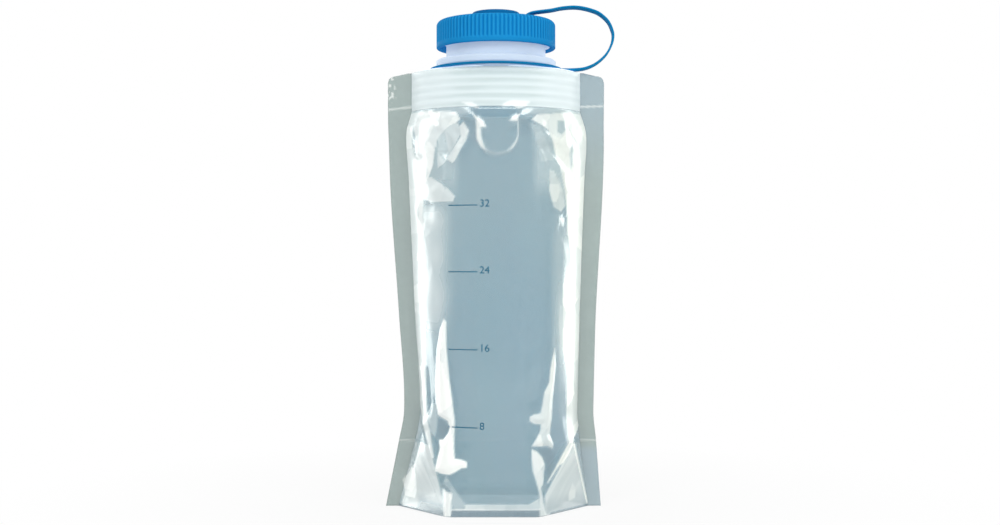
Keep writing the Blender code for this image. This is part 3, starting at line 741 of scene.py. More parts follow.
def facets(x, z, cell, slope, seed):
    """Height of a creased surface: flat cells, each tilted its own way, with narrow folds between."""
    spot = Vector((x / cell[0] + seed, z / cell[1], seed * 0.37))
    distances, sites = noise.voronoi(spot)
    height = 0.0
    total = 0.0
    for distance, site in zip(distances, sites):
        weight = math.exp(-10 * (distance - distances[0]))
        tilt = noise.noise_vector(site * 5.3 + Vector((seed, 0, 0)))
        run = spot - site
        height += weight * (tilt.x * run.x * cell[0] + tilt.y * run.y * cell[1])
        total += weight
    return 2 * slope * height / total


def facet_shade(x, z, cell, seed):
    """A number from 0 to 1 that is the same all over one facet."""
    spot = Vector((x / cell[0] + seed, z / cell[1], seed * 0.37))
    sites = noise.voronoi(spot)[1]
    return 0.5 + 0.5 * noise.cell(sites[0] * 9.1)


def ridge(x, z, start, end, width):
    """1 on a straight fold from start to end, falling to 0 at its width on both sides."""
    run = Vector(end) - Vector(start)
    share = min(max((Vector((x, z)) - Vector(start)).dot(run) / run.length_squared, 0), 1)
    away = (Vector((x, z)) - Vector(start) - run * share).length
    return max(0.0, 1 - away / width)


def tongue_inside(x, z):
    """How far (x, z) lies inside the tongue; below 0 outside it."""
    centre_height = TONGUE_BOTTOM + TONGUE_HALF_WIDTH
    across = abs(x - TONGUE_MIDDLE)
    if z < centre_height:
        return TONGUE_HALF_WIDTH - math.hypot(across, centre_height - z)
    return TONGUE_HALF_WIDTH - across


def below_boat(z):
    return between(0, 1.5 * MM, BOAT_BOTTOM - z)


FOLDS = (
    # Start, end and rise of straight folds, mostly fanning out under the boat
    ((-19 * MM, 221 * MM), (-7 * MM, 212 * MM), 1.2 * MM),
    ((24 * MM, 221 * MM), (9 * MM, 214 * MM), 1.2 * MM),
    ((-34 * MM, 221 * MM), (-22 * MM, 200 * MM), 1.3 * MM),
    ((19 * MM, 214 * MM), (27 * MM, 190 * MM), 1.1 * MM),
    ((25 * MM, 212 * MM), (37 * MM, 177 * MM), 1.3 * MM),
    ((-47 * MM, 212 * MM), (-43 * MM, 196 * MM), 1.0 * MM),
    ((-40.5 * MM, 78 * MM), (-38 * MM, 48 * MM), 1.2 * MM),
    ((-38 * MM, 48 * MM), (-33 * MM, 24 * MM), 1.0 * MM),
)


def crease_mask(share, z):
    """Where the film is crumpled: beside the seams, and further in at the shoulders."""
    reach = curve_through(
        (
            (0, 0.9),
            (25 * MM, 0.86),
            (60 * MM, 0.82),
            (120 * MM, 0.8),
            (180 * MM, 0.6),
            (215 * MM, 0.34),
        ),
        z,
    )
    inner = between(reach - 0.14, reach + 0.14, abs(share))
    outer = between(0.02, 0.16, 1 - abs(share))
    strong = 0.12 + 0.88 * between(140 * MM, 195 * MM, z)
    return strong * inner * outer * between(6 * MM, 16 * MM, z) * between(0, 7 * MM, BOAT_BOTTOM - z)


def crease_height(side, share, z):
    """How far the creased film stands out from the plain wall."""
    x = share * inner_half_width(z)
    seen_x = x + sway(z)
    seed = 3.1 if side < 0 else 17.4
    mask = crease_mask(share, z)
    height = mask * facets(x, z, CREASE_CELL, CREASE_SLOPE, seed)
    height += mask * facets(x, z, FINE_CELL, FINE_SLOPE, seed + 5)
    soft = between(0, 12 * MM, z) * between(0, 8 * MM, BOAT_BOTTOM - z) * between(0, 0.1, 1 - abs(share))
    height += soft * 0.5 * MM * noise.noise(Vector((x / (16 * MM), z / (30 * MM), seed)))
    limit = between(0, 0.06, 1 - abs(share)) * (1.0 if side < 0 else BACK_SHARE)
    for patch in PATCHES:
        if patch.rise:
            climb = min(max(patch.inside(seen_x, z) / PATCH_FLANK, 0.0), 1.0)
            height += limit * patch.rise * climb
    under = below_boat(z)
    ramp = min(max(0.5 + tongue_inside(seen_x, z) / TONGUE_EDGE, 0.0), 1.0)
    height += under * TONGUE_RISE * ramp * (1.0 if side < 0 else BACK_SHARE)
    for start, end, rise in FOLDS:
        height += under * rise * ridge(seen_x, z, start, end, 3.5 * MM)
    return height


def film_point(side, share, z):
    """A point on the creased film."""
    step = 0.004
    ahead = wall_point(side, min(share + step, 1), z)
    behind = wall_point(side, max(share - step, -1), z)
    along = ahead - behind
    outward = Vector((along.y, -along.x, 0)).normalized()
    if outward.y * side < 0:
        outward = -outward
    point = wall_point(side, share, z) + outward * crease_height(side, share, z)
    return point + Vector((sway(z), 0, 0))


def haze_at(side, point):
    """Painted highlight and whitening of the film at a place: 1 on a sharp crease, 0 where it is smooth and
    clear.
    """
    x, z = point.x, point.z
    streaks = noise.noise(Vector((x / (3 * MM), z / (40 * MM), 6)))
    left = between(-19 * MM, -33 * MM, x) * between(80 * MM, 115 * MM, z) * between(182 * MM, 158 * MM, z)
    left *= 0.6 + 0.12 * noise.noise(Vector((x / (12 * MM), z / (14 * MM), 1)))
    right = between(27 * MM, 36 * MM, x) * between(30 * MM, 95 * MM, z) * between(175 * MM, 140 * MM, z)
    right *= 0.42 + 0.25 * streaks
    shoulder = 0.35 * between(17 * MM, 24 * MM, abs(x)) * between(165 * MM, 185 * MM, z)
    foot = 0.1 * between(30 * MM, 12 * MM, z) * between(4 * MM, 5 * MM, z)
    haze = max(left, right, shoulder, foot)
    for patch in PATCHES + GLINTS:
        edge = between(-PATCH_EDGE, PATCH_EDGE, patch.inside(x, z))
        if edge and patch.white > 0:
            varied = 0.82 + 0.26 * facet_shade(x, z, SHADE_CELL, 2.7)
            haze = max(haze, edge * patch.white * varied)
        elif edge:
            haze *= 1 + edge * patch.white
    # Painted light under the boat, over its dark hollow that shows through the film
    under = 0.12 + 0.34 * between(10.5 * MM, 17 * MM, abs(x))
    haze = max(haze, tongue_haze(x, z), under * between(214 * MM, 219 * MM, z))
    haze = max(haze, weld_at(point) * brushed(x, z))
    return min(haze, 1.0) * (1.0 if side < 0 else BACK_HIGHLIGHT)


def beyond_seal(x, z):
    """How far a place in the foot lies outside the line where the welded corner meets the margin."""
    line = 53.3 * MM - 0.328 * z if x < 0 else 51.9 * MM - 0.232 * z
    return abs(x) - line


def brushed(x, z):
    """Painted highlight and whitening of the foot's corners: streaks along the slanted weld, clear near the
    floor.
    """
    along = (abs(x) * 0.51 + z * 0.86) / (30 * MM)
    over = (abs(x) * 0.86 - z * 0.51) / (2.6 * MM)
    streak = between(-0.1, 0.5, noise.noise(Vector((along, over, math.copysign(2.0, x)))))
    beyond = beyond_seal(x, z)
    low = between(1 * MM, 13 * MM, z)
    plain = (0.02 + (0.22 if x < 0 else 0.15) * low + 0.14 * low * streak) * between(0.3 * MM, -0.3 * MM, beyond)
    # A painted highlight line where the welded corner meets the margin
    line = (0.5 if x < 0 else 0.8) * between(0.9 * MM, 0.4 * MM, abs(beyond)) * between(0, 3 * MM, z)
    return max(plain, line)


def tongue_haze(x, z):
    """Painted highlight along the tongue's edge: wide down its left side, thin round its end."""
    across = x - TONGUE_MIDDLE
    inside = tongue_inside(x, z)
    left = between(-5 * MM, -9.5 * MM, across)
    width = (1.2 + 3.6 * left + 1.2 * between(12 * MM, 4 * MM, z - TONGUE_BOTTOM)) * MM
    line = between(-0.8 * MM, 0.3 * MM, inside) * (1 - between(0.25 * width, width, inside))
    end = 0.28 + 0.36 * between(4 * MM, 9 * MM, abs(across)) + 0.2 * left
    pale = 0.03 * between(0, 1 * MM, inside)
    return max(line * end, pale) * between(219 * MM, 212 * MM, z)


def groove_wave(z):
    """How deep the boat is grooved at one height, from 0 to 1."""
    return 0.5 + 0.5 * math.cos(2 * math.pi * (z - BOAT_BOTTOM - BOAT_FIRST_GROOVE) / BOAT_GROOVE_PITCH)


def faded(point):
    """How strongly the painted groove shade shows at a place, from 0 to 1."""
    spot = Vector((point.x / (22 * MM), point.y / (22 * MM), point.z / (2.5 * MM)))
    clear = 0.55 + 0.45 * between(-0.4, 0.4, noise.noise(spot))
    return clear * (1 - 0.62 * between(16 * MM, 40 * MM, abs(point.x)))


def band_shade(point):
    """Painted shade on the band along the grooves, and a little grey in the middle."""
    middle = 0.3 * between(32 * MM, 12 * MM, abs(point.x))
    return min(groove_wave(point.z) * faded(point) + middle, 1.0)


def band_haze(point):
    """Painted highlight on the band where the film's folds lap over it."""
    return max(glint.white * between(-PATCH_EDGE, PATCH_EDGE, glint.inside(point.x, point.z)) for glint in GLINTS)


def band_point(side, share, z):
    """A point on the band of film that is welded round the ribbed boat."""
    point = wall_point(side, share, z)
    hug = 0.2 * MM * groove_wave(z) * between(0, 0.08, 1 - abs(share))
    return point - Vector((0, side * hug, 0))


# Materials


# Strength of the painted glows: the band's own colour, and the film's painted highlights
BAND_PAINTED_GLOW = 0.15
HIGHLIGHT_GLOW = 0.15


def film_material():
    """Clear laminate film: blue-grey where it is single, grey-green where it is welded, with glowing painted
    highlights and painted shade.
    """
    material, graph = new_material("clear_film")
    weld = graph.attribute("weld")
    haze = graph.attribute("haze")
    shade = graph.attribute("shade")
    mottled = graph.noise(60, 4, 0.6)
    tint = graph.noise(1, 2, 0.5, graph.stretched((38, 38, 9)))
    high = graph.ramp(graph.along("Z"), (0.11, 0.0), (0.17, 0.4))
    warm = graph.ramp(graph.along("X"), (0.02, 0.0), (0.034, 0.8))
    single = graph.mix(tint, (0.03, 0.31, 0.4), (0.07, 0.28, 0.43))
    single = graph.mix(high, single, (0.17, 0.36, 0.42))
    welded = graph.mix(mottled, (0.62, 0.74, 0.77), (0.8, 0.9, 0.93))
    color = graph.mix(weld, single, welded)
    # Darker where the shade attribute is set: doubled film at the bottom edge, and painted shade
    color = graph.mix(shade, color, (0.05, 0.2, 0.29))
    # Colour of the painted highlights, creamier on the right
    white = graph.mix(warm, (0.91, 0.93, 0.91), (0.93, 0.94, 0.84))
    color = graph.mix(haze, color, white)
    alpha = (0.34 + weld * 0.2 + shade * 0.08 + haze * 0.5).clamped()
    graph.set(base_color=color, roughness=0.15 + mottled * 0.05 + haze * 0.2, alpha=alpha, ior=1.8)
    graph.set(coat_weight=1 - haze * 0.8, coat_roughness=0.1, specular_ior_level=1.0)
    # The painted highlights glow a little
    glow = graph.mix(haze, (0, 0, 0), (1, 1, 1))
    graph.set(emission_color=glow, emission_strength=HIGHLIGHT_GLOW)
    graph.bump(graph.noise(220, 3, 0.5), 0.05 * MM, 0.3)
    return material


def band_material():
    """Film stretched over the ribs of the boat: white, satin and almost opaque, with painted groove shade,
    painted glints and a painted glow.
    """
    material, graph = new_material("band_film")
    groove = graph.attribute("groove")
    mottled = graph.noise(30, 4, 0.6)
    # The groove attribute carries painted shade in the grooves
    color = graph.mix(groove, (0.78, 0.84, 0.85), (0.58, 0.66, 0.66))
    color = graph.mix(mottled * 0.35, color, (0.66, 0.73, 0.77))
    # Painted glints where the film's folds lap over the band
    color = graph.mix(graph.attribute("haze"), color, (0.95, 0.97, 0.97))
    graph.set(base_color=color, roughness=0.3 + mottled * 0.1, alpha=0.75)
    graph.set(specular_ior_level=0.2, emission_color=color, emission_strength=BAND_PAINTED_GLOW)
    return material


def seam_material():
    """Two layers of film welded together: grey-green, a little cloudy, with fine waves and painted highlights."""
    material, graph = new_material("welded_film")
    haze = graph.attribute("haze")
    cool = graph.attribute("cool")
    cloudy = graph.noise(35, 4, 0.6)
    color = graph.mix(cloudy, (0.235, 0.33, 0.32), (0.375, 0.47, 0.455))
    color = graph.mix(cool, color, (0.31, 0.43, 0.49))
    color = graph.mix(haze, color, (0.9, 0.93, 0.92))
    alpha = (0.58 + cloudy * 0.08 + haze * 0.3).clamped()
    graph.set(base_color=color, roughness=0.16 + cloudy * 0.12, alpha=alpha, ior=1.5)
    graph.set(coat_weight=0.6, coat_roughness=0.1)
    graph.bump(graph.noise(90, 3, 0.5), 0.2 * MM, 0.4)
    return material


def milky_material(name, light, dark):
    """Milky polyethylene: satin, faintly mottled, with a painted glow for the light that comes through it, and
    painted shade where that glow is low.
    """
    material, graph = new_material(name)
    mottled = graph.noise(40, 4, 0.55)
    lit = graph.attribute("lit")
    hollow_painted_shade = graph.ramp(lit, (0.05, 0.6), (0.3, 0.0))
    # Painted shade in the boat's hollow, where the painted glow is low
    graph.set(base_color=graph.mix(hollow_painted_shade, graph.mix(mottled, dark, light), (0.2, 0.3, 0.38)))
    graph.set(roughness=0.4 + mottled * 0.12, specular_ior_level=0.05, ior=1.2)
    graph.set(emission_color=graph.mix(lit, (0, 0, 0), light), emission_strength=1.0)
    graph.set(subsurface_weight=0.25, subsurface_scale=1.0)
    graph.set(subsurface_radius=(2 * MM, 2 * MM, 2.5 * MM))
    graph.bump(graph.noise(700, 2, 0.5), 0.03 * MM, 0.3)
    return material


def blue_material(name, light, dark, roughness):
    """Blue moulded plastic: satin, with a fine grain and painted shade in the grooves."""
    material, graph = new_material(name)
    mottled = graph.noise(55, 4, 0.55)
    color = graph.mix(graph.attribute("groove"), light, dark)
    color = graph.mix(mottled * 0.25, color, tuple(0.8 * part for part in light))
    graph.set(base_color=color, roughness=roughness + mottled * 0.1, specular_ior_level=0.05, ior=1.15)
    graph.bump(graph.noise(900, 2, 0.5), 0.03 * MM, 0.35)
    return material


def ink_material():
    """Teal-blue printing ink, slightly thin in places."""
    material, graph = new_material("teal_ink")
    thin = graph.noise(300, 3, 0.6)
    graph.set(base_color=graph.mix(thin, (0.0, 0.09, 0.17), (0.0, 0.14, 0.24)), roughness=0.7)
    return material


# Film pieces

FILM_COLUMNS = 174
FILM_ROWS = 276
SIDES = {-1: ("front", "front_wall", "base_front"), 1: ("back", "back_wall", "base_back")}
FOOT_BAND = 4.2 * MM


def share_of(across):
    """Columns lie closer together towards the seams."""
    return math.sin((across * 2 - 1) * math.pi / 2)


def weld_at(point):
    """1 in the foot's corners, where the bottom film is welded to a wall."""
    x, z = point.x, point.z
    edge = 26.5 * MM + 0.26 * z if x < 0 else max(26.5 * MM, 20 * MM + 0.6 * z)
    corner = between(-0.8 * MM, 0.8 * MM, abs(x) - edge)
    margin = 0.25 * between(-0.3 * MM, 0.3 * MM, beyond_seal(x, z))
    return corner * between(37.5 * MM, 36.5 * MM, z) * (1 - margin)


def shade_at(side, point):
    """1 where the film is doubled along the bottom edge; painted shade low in the foot's corners, beside the
    tongue and inside the front folds.
    """
    x, z = point.x, point.z
    shade = between(25 * MM, 24 * MM, abs(x)) * between(FOOT_BAND + 0.4 * MM, FOOT_BAND - 0.4 * MM, z)
    shade = max(shade, between(29 * MM, 30 * MM, abs(x)) * between(1.3 * MM, 0.8 * MM, z))
    # Painted shade near the floor in the foot's corners, strong on the left
    low = between(11 * MM, 5 * MM, z) * between(27 * MM, 29 * MM, abs(x))
    shade = max(shade, low * (0.85 * between(-45 * MM, -41 * MM, x) if x < 0 else 0.2))
    if side < 0:
        shade = max([shade] + [patch.white * between(-1 * MM, 1.5 * MM, patch.inside(x, z)) for patch in SHADES])
    return shade


def build_wall(side, material):
    """The film of one wall under the fitment. It follows the wall and stays at the seams."""
    label, wall_body, _ = SIDES[side]

    def place(across, up):
        return film_point(side, share_of(across), 0.1 * MM + up * (BOAT_BOTTOM - 0.1 * MM))

    bm = face_along(mapped_grid(FILM_COLUMNS, FILM_ROWS, place), Vector((0, side, 0)))
    wall = new_piece(label + "_film", bm, material, 180)
    set_attribute(wall, "weld", weld_at)
    set_attribute(wall, "shade", lambda point: shade_at(side, point))
    set_attribute(wall, "haze", lambda point: haze_at(side, point))
    add_thickness(wall, FILM)
    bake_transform(wall)
    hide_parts(label + "_panel")


def build_band(side, material):
    """The film welded round the ribbed boat of the fitment."""
    label = SIDES[side][0]

    def place(across, up):
        return band_point(side, share_of(across), BOAT_BOTTOM + up * (POUCH_HEIGHT - BOAT_BOTTOM))

    bm = face_along(mapped_grid(90, 80, place), Vector((0, side, 0)))
    band = new_piece(label + "_band", bm, material, 180)
    set_attribute(band, "groove", band_shade)
    if side < 0:
        set_attribute(band, "haze", band_haze)
    add_thickness(band, FILM)
    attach(band, "bottle")


def margin_top(x):
    """Height of a margin's top edge: level beside the boat, then falling to a round corner."""
    inner = inner_half_width(POUCH_HEIGHT) + GAP + TOP_FLAT
    corner = outer_half_width(POUCH_HEIGHT) - TOP_CORNER_RADIUS
    fall = TOP_CORNER_FALL * min(max((x - inner) / (corner - inner), 0.0), 1.0)
    over = min(max((x - corner) / TOP_CORNER_RADIUS, 0.0), 1.0)
    return POUCH_HEIGHT - fall - TOP_CORNER_RADIUS * (1 - math.sqrt(1 - over**2))


def margin_haze(side, point):
    """Painted highlights in a margin: the ends of the boat's weld and the gusset's, and facets in the foot."""
    x, z = abs(point.x), point.z
    slope = 0.12 if side < 0 else -0.03
    line = 1 - between(0.2 * MM, 0.9 * MM, abs(z - 224.6 * MM + slope * (x - 47 * MM)))
    low_line = 1 - between(0.2 * MM, 0.8 * MM, abs(z - GUSSET_RISE))
    low = 0.05 * facet_shade(x, z, SHADE_CELL, 4.4 + side)
    ragged = between(55.5 * MM, 58 * MM, x) * between(226 * MM, 230 * MM, z) if side < 0 else 0.0
    ragged *= between(0.05, 0.2, noise.noise(Vector((x / (1.6 * MM), z / (2.2 * MM), 0))))
    low *= between(GUSSET_RISE, GUSSET_RISE - 1 * MM, z)
    foot = FOOT_HIGHLIGHT.white * between(-PATCH_EDGE, PATCH_EDGE, FOOT_HIGHLIGHT.inside(point.x, z))
    return max(0.7 * line, 0.5 * low_line, 0.8 * ragged, low, foot)


def build_margin(side, material):
    """A welded side margin with a falling top edge and a rounded top corner."""
    label = "left" if side < 0 else "right"

    def place(across, up):
        top_inner = inner_half_width(POUCH_HEIGHT) - 0.2 * MM
        top_x = top_inner + (outer_half_width(POUCH_HEIGHT) - top_inner) * across
        z = up * margin_top(top_x)
        inner = inner_half_width(z) - 0.2 * MM
        x = inner + (outer_half_width(z) - inner) * across
        if side < 0:
            worn = noise.noise(Vector((0, z / (2.5 * MM), 3))) * between(226 * MM, 230 * MM, z)
            x -= 0.6 * MM * abs(worn) * between(0.8, 1, across)
        wave = noise.noise(Vector((x / (14 * MM), z / (35 * MM), side * 5.0)))
        return Vector((side * x + sway(z), 0.9 * MM * wave * between(0, 0.5, across), z))

    bm = mapped_grid(18, 300, place)
    bmesh.ops.recalc_face_normals(bm, faces=bm.faces)
    margin = new_piece(label + "_margin", bm, material, 180)
    set_attribute(margin, "haze", lambda point: margin_haze(side, point))
    if side > 0:
        set_attribute(margin, "cool", lambda point: max(between(170 * MM, 232 * MM, point.z), between(36 * MM, 30 * MM, point.z)))
    add_thickness(margin, 0.45 * MM, 0)
    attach(margin, "bottle")
    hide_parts(label + "_side_seam")


def build_bottom(side, material):
    """Half of the bottom film, from its weld on a wall to the crease in the middle."""
    label, wall_body, base_body = SIDES[side]
    crease_gap = 0.2 * MM if side < 0 else -0.2 * MM
    flat_share = 0.45
    weld_end = 0.97

    def place(across, up):
        share = 2 * across - 1
        climb = max(0.0, (abs(share) - flat_share) / (1 - flat_share)) * weld_end
        z = GUSSET_RISE * climb
        if climb == 0:
            column = abs(share) / flat_share
            weld_share = column * FOLD_SHARE
            fold_x = GUSSET_FLAT_HALF_WIDTH * column
        else:
            weld_share = FOLD_SHARE + (weld_end - FOLD_SHARE) * climb
            fold_end = inner_half_width(z) * weld_end
            fold_x = GUSSET_FLAT_HALF_WIDTH + (fold_end - GUSSET_FLAT_HALF_WIDTH) * climb
        weld = wall_point(side, math.copysign(weld_share, share), z)
        weld.y -= side * 0.6 * MM
        crease = GUSSET_CREASE_OFFSET * (1 - climb / weld_end) + crease_gap
        fold = Vector((math.copysign(fold_x, share), -crease, z))
        point = weld.lerp(fold, up)
        point.x += sway(z)
        point.z += 0.3 * MM + 0.5 * MM * math.sin(math.pi * up) * (1 + noise.noise(point * 60))
        return point

    bm = face_along(mapped_grid(90, 40, place), Vector((0, 0, -1)))
    bottom = new_piece("bottom_film_" + label, bm, material, 180)
    add_thickness(bottom, FILM, 1)
    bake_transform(bottom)
    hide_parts("gusset_" + label)


# Spout fitment


def boat_loop(t, z, inset):
    """A point of the boat-shaped outline, drawn in by inset."""
    half_length = BOAT_HALF_LENGTH - inset * 1.5
    half_depth = BOAT_HALF_DEPTH - inset
    x = half_length * math.cos(t)
    return Vector((x, math.copysign(lens_depth(x, half_length, half_depth), math.sin(t)), z))


def boat_light(point):
    """Painted glow of the boat, for light coming through it: most at its bare top edge under the ring, little in
    its hollow, which gets painted shade.
    """
    wall = lens_depth(point.x, BOAT_HALF_LENGTH, BOAT_HALF_DEPTH) - abs(point.y)
    hollow = between(1.4 * MM, 2 * MM, wall) * between(DECK_TOP - 0.5 * MM, DECK_TOP - 1 * MM, point.z)
    bare = between(POUCH_HEIGHT - 0.5 * MM, POUCH_HEIGHT + 0.3 * MM, point.z)
    return (0.5 + 0.25 * bare) * (1 - 0.7 * hollow)


# Painted glow of the neck, brighter towards its left and right ends
def neck_light(point):
    return 0.4 + 0.12 * between(18 * MM, 28 * MM, abs(point.x))


def build_boat(material):
    """The ribbed, boat-shaped foot of the fitment, hollow below, with a deck and a mouth."""
    heights = stations(BOAT_BOTTOM, DECK_TOP - 0.4 * MM, 90)
    rows = [(z, BOAT_GROOVE_DEPTH * groove_wave(z)) for z in heights]
    rows.append((DECK_TOP, BOAT_GROOVE_DEPTH + 0.4 * MM))
    inset = BOAT_GROOVE_DEPTH + BOAT_WALL
    deck_bottom = DECK_TOP - DECK_THICKNESS
    last = len(rows) + 4

    def place(across, up):
        t = 2 * math.pi * across
        i = round(up * last)
        if i < len(rows):
            return boat_loop(t, *rows[i])
        if i == len(rows):
            return Vector((MOUTH_RADIUS * math.cos(t), MOUTH_RADIUS * math.sin(t), DECK_TOP))
        if i == len(rows) + 1:
            return Vector((MOUTH_RADIUS * math.cos(t), MOUTH_RADIUS * math.sin(t), deck_bottom))
        if i == len(rows) + 2:
            return boat_loop(t, deck_bottom, inset)
        if i == len(rows) + 3:
            return boat_loop(t, BOAT_BOTTOM, inset)
        return boat_loop(t, *rows[0])

    bm = mapped_grid(160, last, place, closed=True)
    bmesh.ops.recalc_face_normals(bm, faces=bm.faces)
    boat = new_piece("ribbed_boat", bm, material, 50)
    set_attribute(boat, "lit", boat_light)
    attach(boat, "bottle")


def build_neck(material):
    """The round neck: groove, flange, flare, thread, lip and mouth."""
    flare = [
        (NECK_RADIUS + FLARE_REACH * (1 - math.sin(turn)), FLANGE_TOP + FLARE_HEIGHT * (1 - math.cos(turn)))
        for turn in stations(0, math.pi / 2, 10)
    ]
    profile = (
        [(GROOVE_RADIUS, DECK_TOP - 1 * MM), (GROOVE_RADIUS, FLANGE_BOTTOM)]
        + [(FLANGE_RADIUS - 0.5 * MM, FLANGE_BOTTOM), (FLANGE_RADIUS, FLANGE_BOTTOM + 0.5 * MM)]
        + [(FLANGE_RADIUS, FLANGE_TOP - 0.7 * MM), (FLANGE_RADIUS - 0.6 * MM, FLANGE_TOP - 0.1 * MM)]
        + flare
        + [(NECK_RADIUS, LIP_TOP - 0.5 * MM), (NECK_RADIUS - 0.5 * MM, LIP_TOP)]
        + [(MOUTH_RADIUS + 0.3 * MM, LIP_TOP), (MOUTH_RADIUS, LIP_TOP - 0.3 * MM)]
        + [(MOUTH_RADIUS, DECK_TOP - 1 * MM)]
    )
    neck = new_piece("neck", turned(profile, 144), material, 35)
    set_attribute(neck, "lit", neck_light)
    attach(neck, "bottle")
    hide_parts("spout_fitment")
    thread = helix(NECK_RADIUS - 0.5 * MM, NECK_THREAD_CREST, LIP_TOP - THREAD_BELOW_LIP, 0)
    ridge_piece = new_piece("neck_thread", thread, material, 35)
    set_attribute(ridge_piece, "lit", neck_light)
    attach(ridge_piece, "bottle")


# Cap, stud and tether

RIB_LOW = CAP_BOTTOM + CAP_PLAIN_BAND
RIB_HIGH = CAP_TOP - 0.6 * MM


def cap_groove(point):
    """0 on a rib of the cap and off the ribbed band, 1 at the bottom of a groove."""
    radius = math.hypot(point.x, point.y)
    if radius < CAP_RADIUS - 2.2 * MM:
        return 0.0
    turn = math.atan2(point.y, point.x)
    wave = 0.5 - 0.5 * math.cos(turn * CAP_RIBS)
    number = round(turn / (2 * math.pi) * CAP_RIBS)
    ragged = 0.5 * MM * noise.noise(Vector((number * 3.7, 0, 0)))
    low = between(RIB_LOW - 0.4 * MM + ragged, RIB_LOW + 0.6 * MM + ragged, point.z)
    high = 1 - between(RIB_HIGH - 0.6 * MM, RIB_HIGH + 0.6 * MM, point.z)
    return wave**1.4 * low * high


def cap_shade(point):
    """Painted shade on the cap: in the grooves, and a little on the plain band below them."""
    plain = 0.35 * (1 - between(RIB_LOW - 0.6 * MM, RIB_LOW + 0.6 * MM, point.z))
    return max(cap_groove(point), plain)


def build_cap(material):
    """A drum with fine upright ribs, hollow below, with a thread, a plug ring and a socket."""
    shoulder = [
        (CAP_RADIUS - CAP_SHOULDER * (1 - math.cos(turn)), CAP_TOP - CAP_SHOULDER * (1 - math.sin(turn)))
        for turn in stations(0, math.pi / 2, 10)
    ]
    socket_radius = STEM_RADIUS + GAP
    profile = (
        [(socket_radius, CAP_TOP)]
        + shoulder[::-1]
        + [(CAP_RADIUS, z) for z in stations(CAP_TOP - CAP_SHOULDER - 0.4 * MM, RIB_LOW, 14)]
        + [(CAP_RADIUS, RIB_LOW - 0.7 * MM), (CAP_RADIUS, CAP_BOTTOM + 0.4 * MM)]
        + [(CAP_RADIUS - 0.4 * MM, CAP_BOTTOM), (CAP_INNER_RADIUS + 0.3 * MM, CAP_BOTTOM)]
        + [(CAP_INNER_RADIUS, CAP_BOTTOM + 0.3 * MM), (CAP_INNER_RADIUS, PLATE_BOTTOM)]
        + [(PLUG_OUTER, PLATE_BOTTOM), (PLUG_OUTER, PLUG_BOTTOM)]
        + [(PLUG_INNER, PLUG_BOTTOM), (PLUG_INNER, PLATE_BOTTOM)]
        + [(BOSS_RADIUS, PLATE_BOTTOM), (BOSS_RADIUS, BOSS_BOTTOM), (0, BOSS_BOTTOM)]
    )
    profile = [(0, SOCKET_BOTTOM), (socket_radius, SOCKET_BOTTOM)] + profile
    bm = turned(profile, CAP_RIBS * 6)
    for vertex in bm.verts:
        radius = math.hypot(vertex.co.x, vertex.co.y)
        if radius > CAP_RADIUS - 2.2 * MM:
            drawn_in = 1 - cap_groove(vertex.co) * CAP_RIB_DEPTH / radius
            vertex.co.x *= drawn_in
            vertex.co.y *= drawn_in
    cap = new_piece("ribbed_cap", bm, material, 60)
    set_attribute(cap, "groove", cap_shade)
    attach(cap, "cap")
    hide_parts("screw_cap")
    thread = helix(
        CAP_INNER_RADIUS + 0.3 * MM,
        CAP_THREAD_CREST,
        LIP_TOP - THREAD_BELOW_LIP + THREAD_LEAD * (CAP_THREAD_LATER - 0.5),
        2 * math.pi * CAP_THREAD_LATER,
    )
    ridge_piece = new_piece("cap_thread", thread, material, 35)
    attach(ridge_piece, "cap")


def build_stud(material):
    """The raised round button, with a soft edge, on its stem."""
    head_bottom = EYE_TOP + GAP
    dome = [
        (HEAD_RADIUS - HEAD_ROUNDING * (1 - math.cos(turn)), HEAD_TOP - HEAD_ROUNDING * (1 - math.sin(turn)))
        for turn in stations(0, math.pi / 2, 8)
    ]
    profile = (
        [(0, HEAD_TOP - 0.15 * MM), (HEAD_RADIUS * 0.6, HEAD_TOP - 0.05 * MM)]
        + dome[::-1]
        + [(HEAD_RADIUS, head_bottom + 0.2 * MM), (HEAD_RADIUS - 0.2 * MM, head_bottom)]
        + [(STEM_RADIUS, head_bottom), (STEM_RADIUS, STEM_BOTTOM + 0.5 * MM)]
        + [(STEM_RADIUS - 0.5 * MM, STEM_BOTTOM), (0, STEM_BOTTOM)]
    )
    stud = new_piece("button", turned(profile, 96), material, 35)
    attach(stud, "stud")
    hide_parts("swivel_stud")


def build_ring(name, radii, heights, material):
    """A flat ring with rounded edges."""
    inner, outer = radii
    bottom, top = heights
    edge = 0.3 * MM
    profile = (
        [(inner, bottom + 0.2 * MM), (inner + 0.2 * MM, bottom), (outer - edge, bottom)]
        + [(outer - 0.1 * MM, bottom + 0.1 * MM), (outer, bottom + edge), (outer, top - edge)]
        + [(outer - 0.1 * MM, top - 0.1 * MM), (outer - edge, top)]
        + [(inner + 0.2 * MM, top), (inner, top - 0.2 * MM)]
    )
    ring = new_piece(name, turned(profile, 144), material, 50)
    return ring


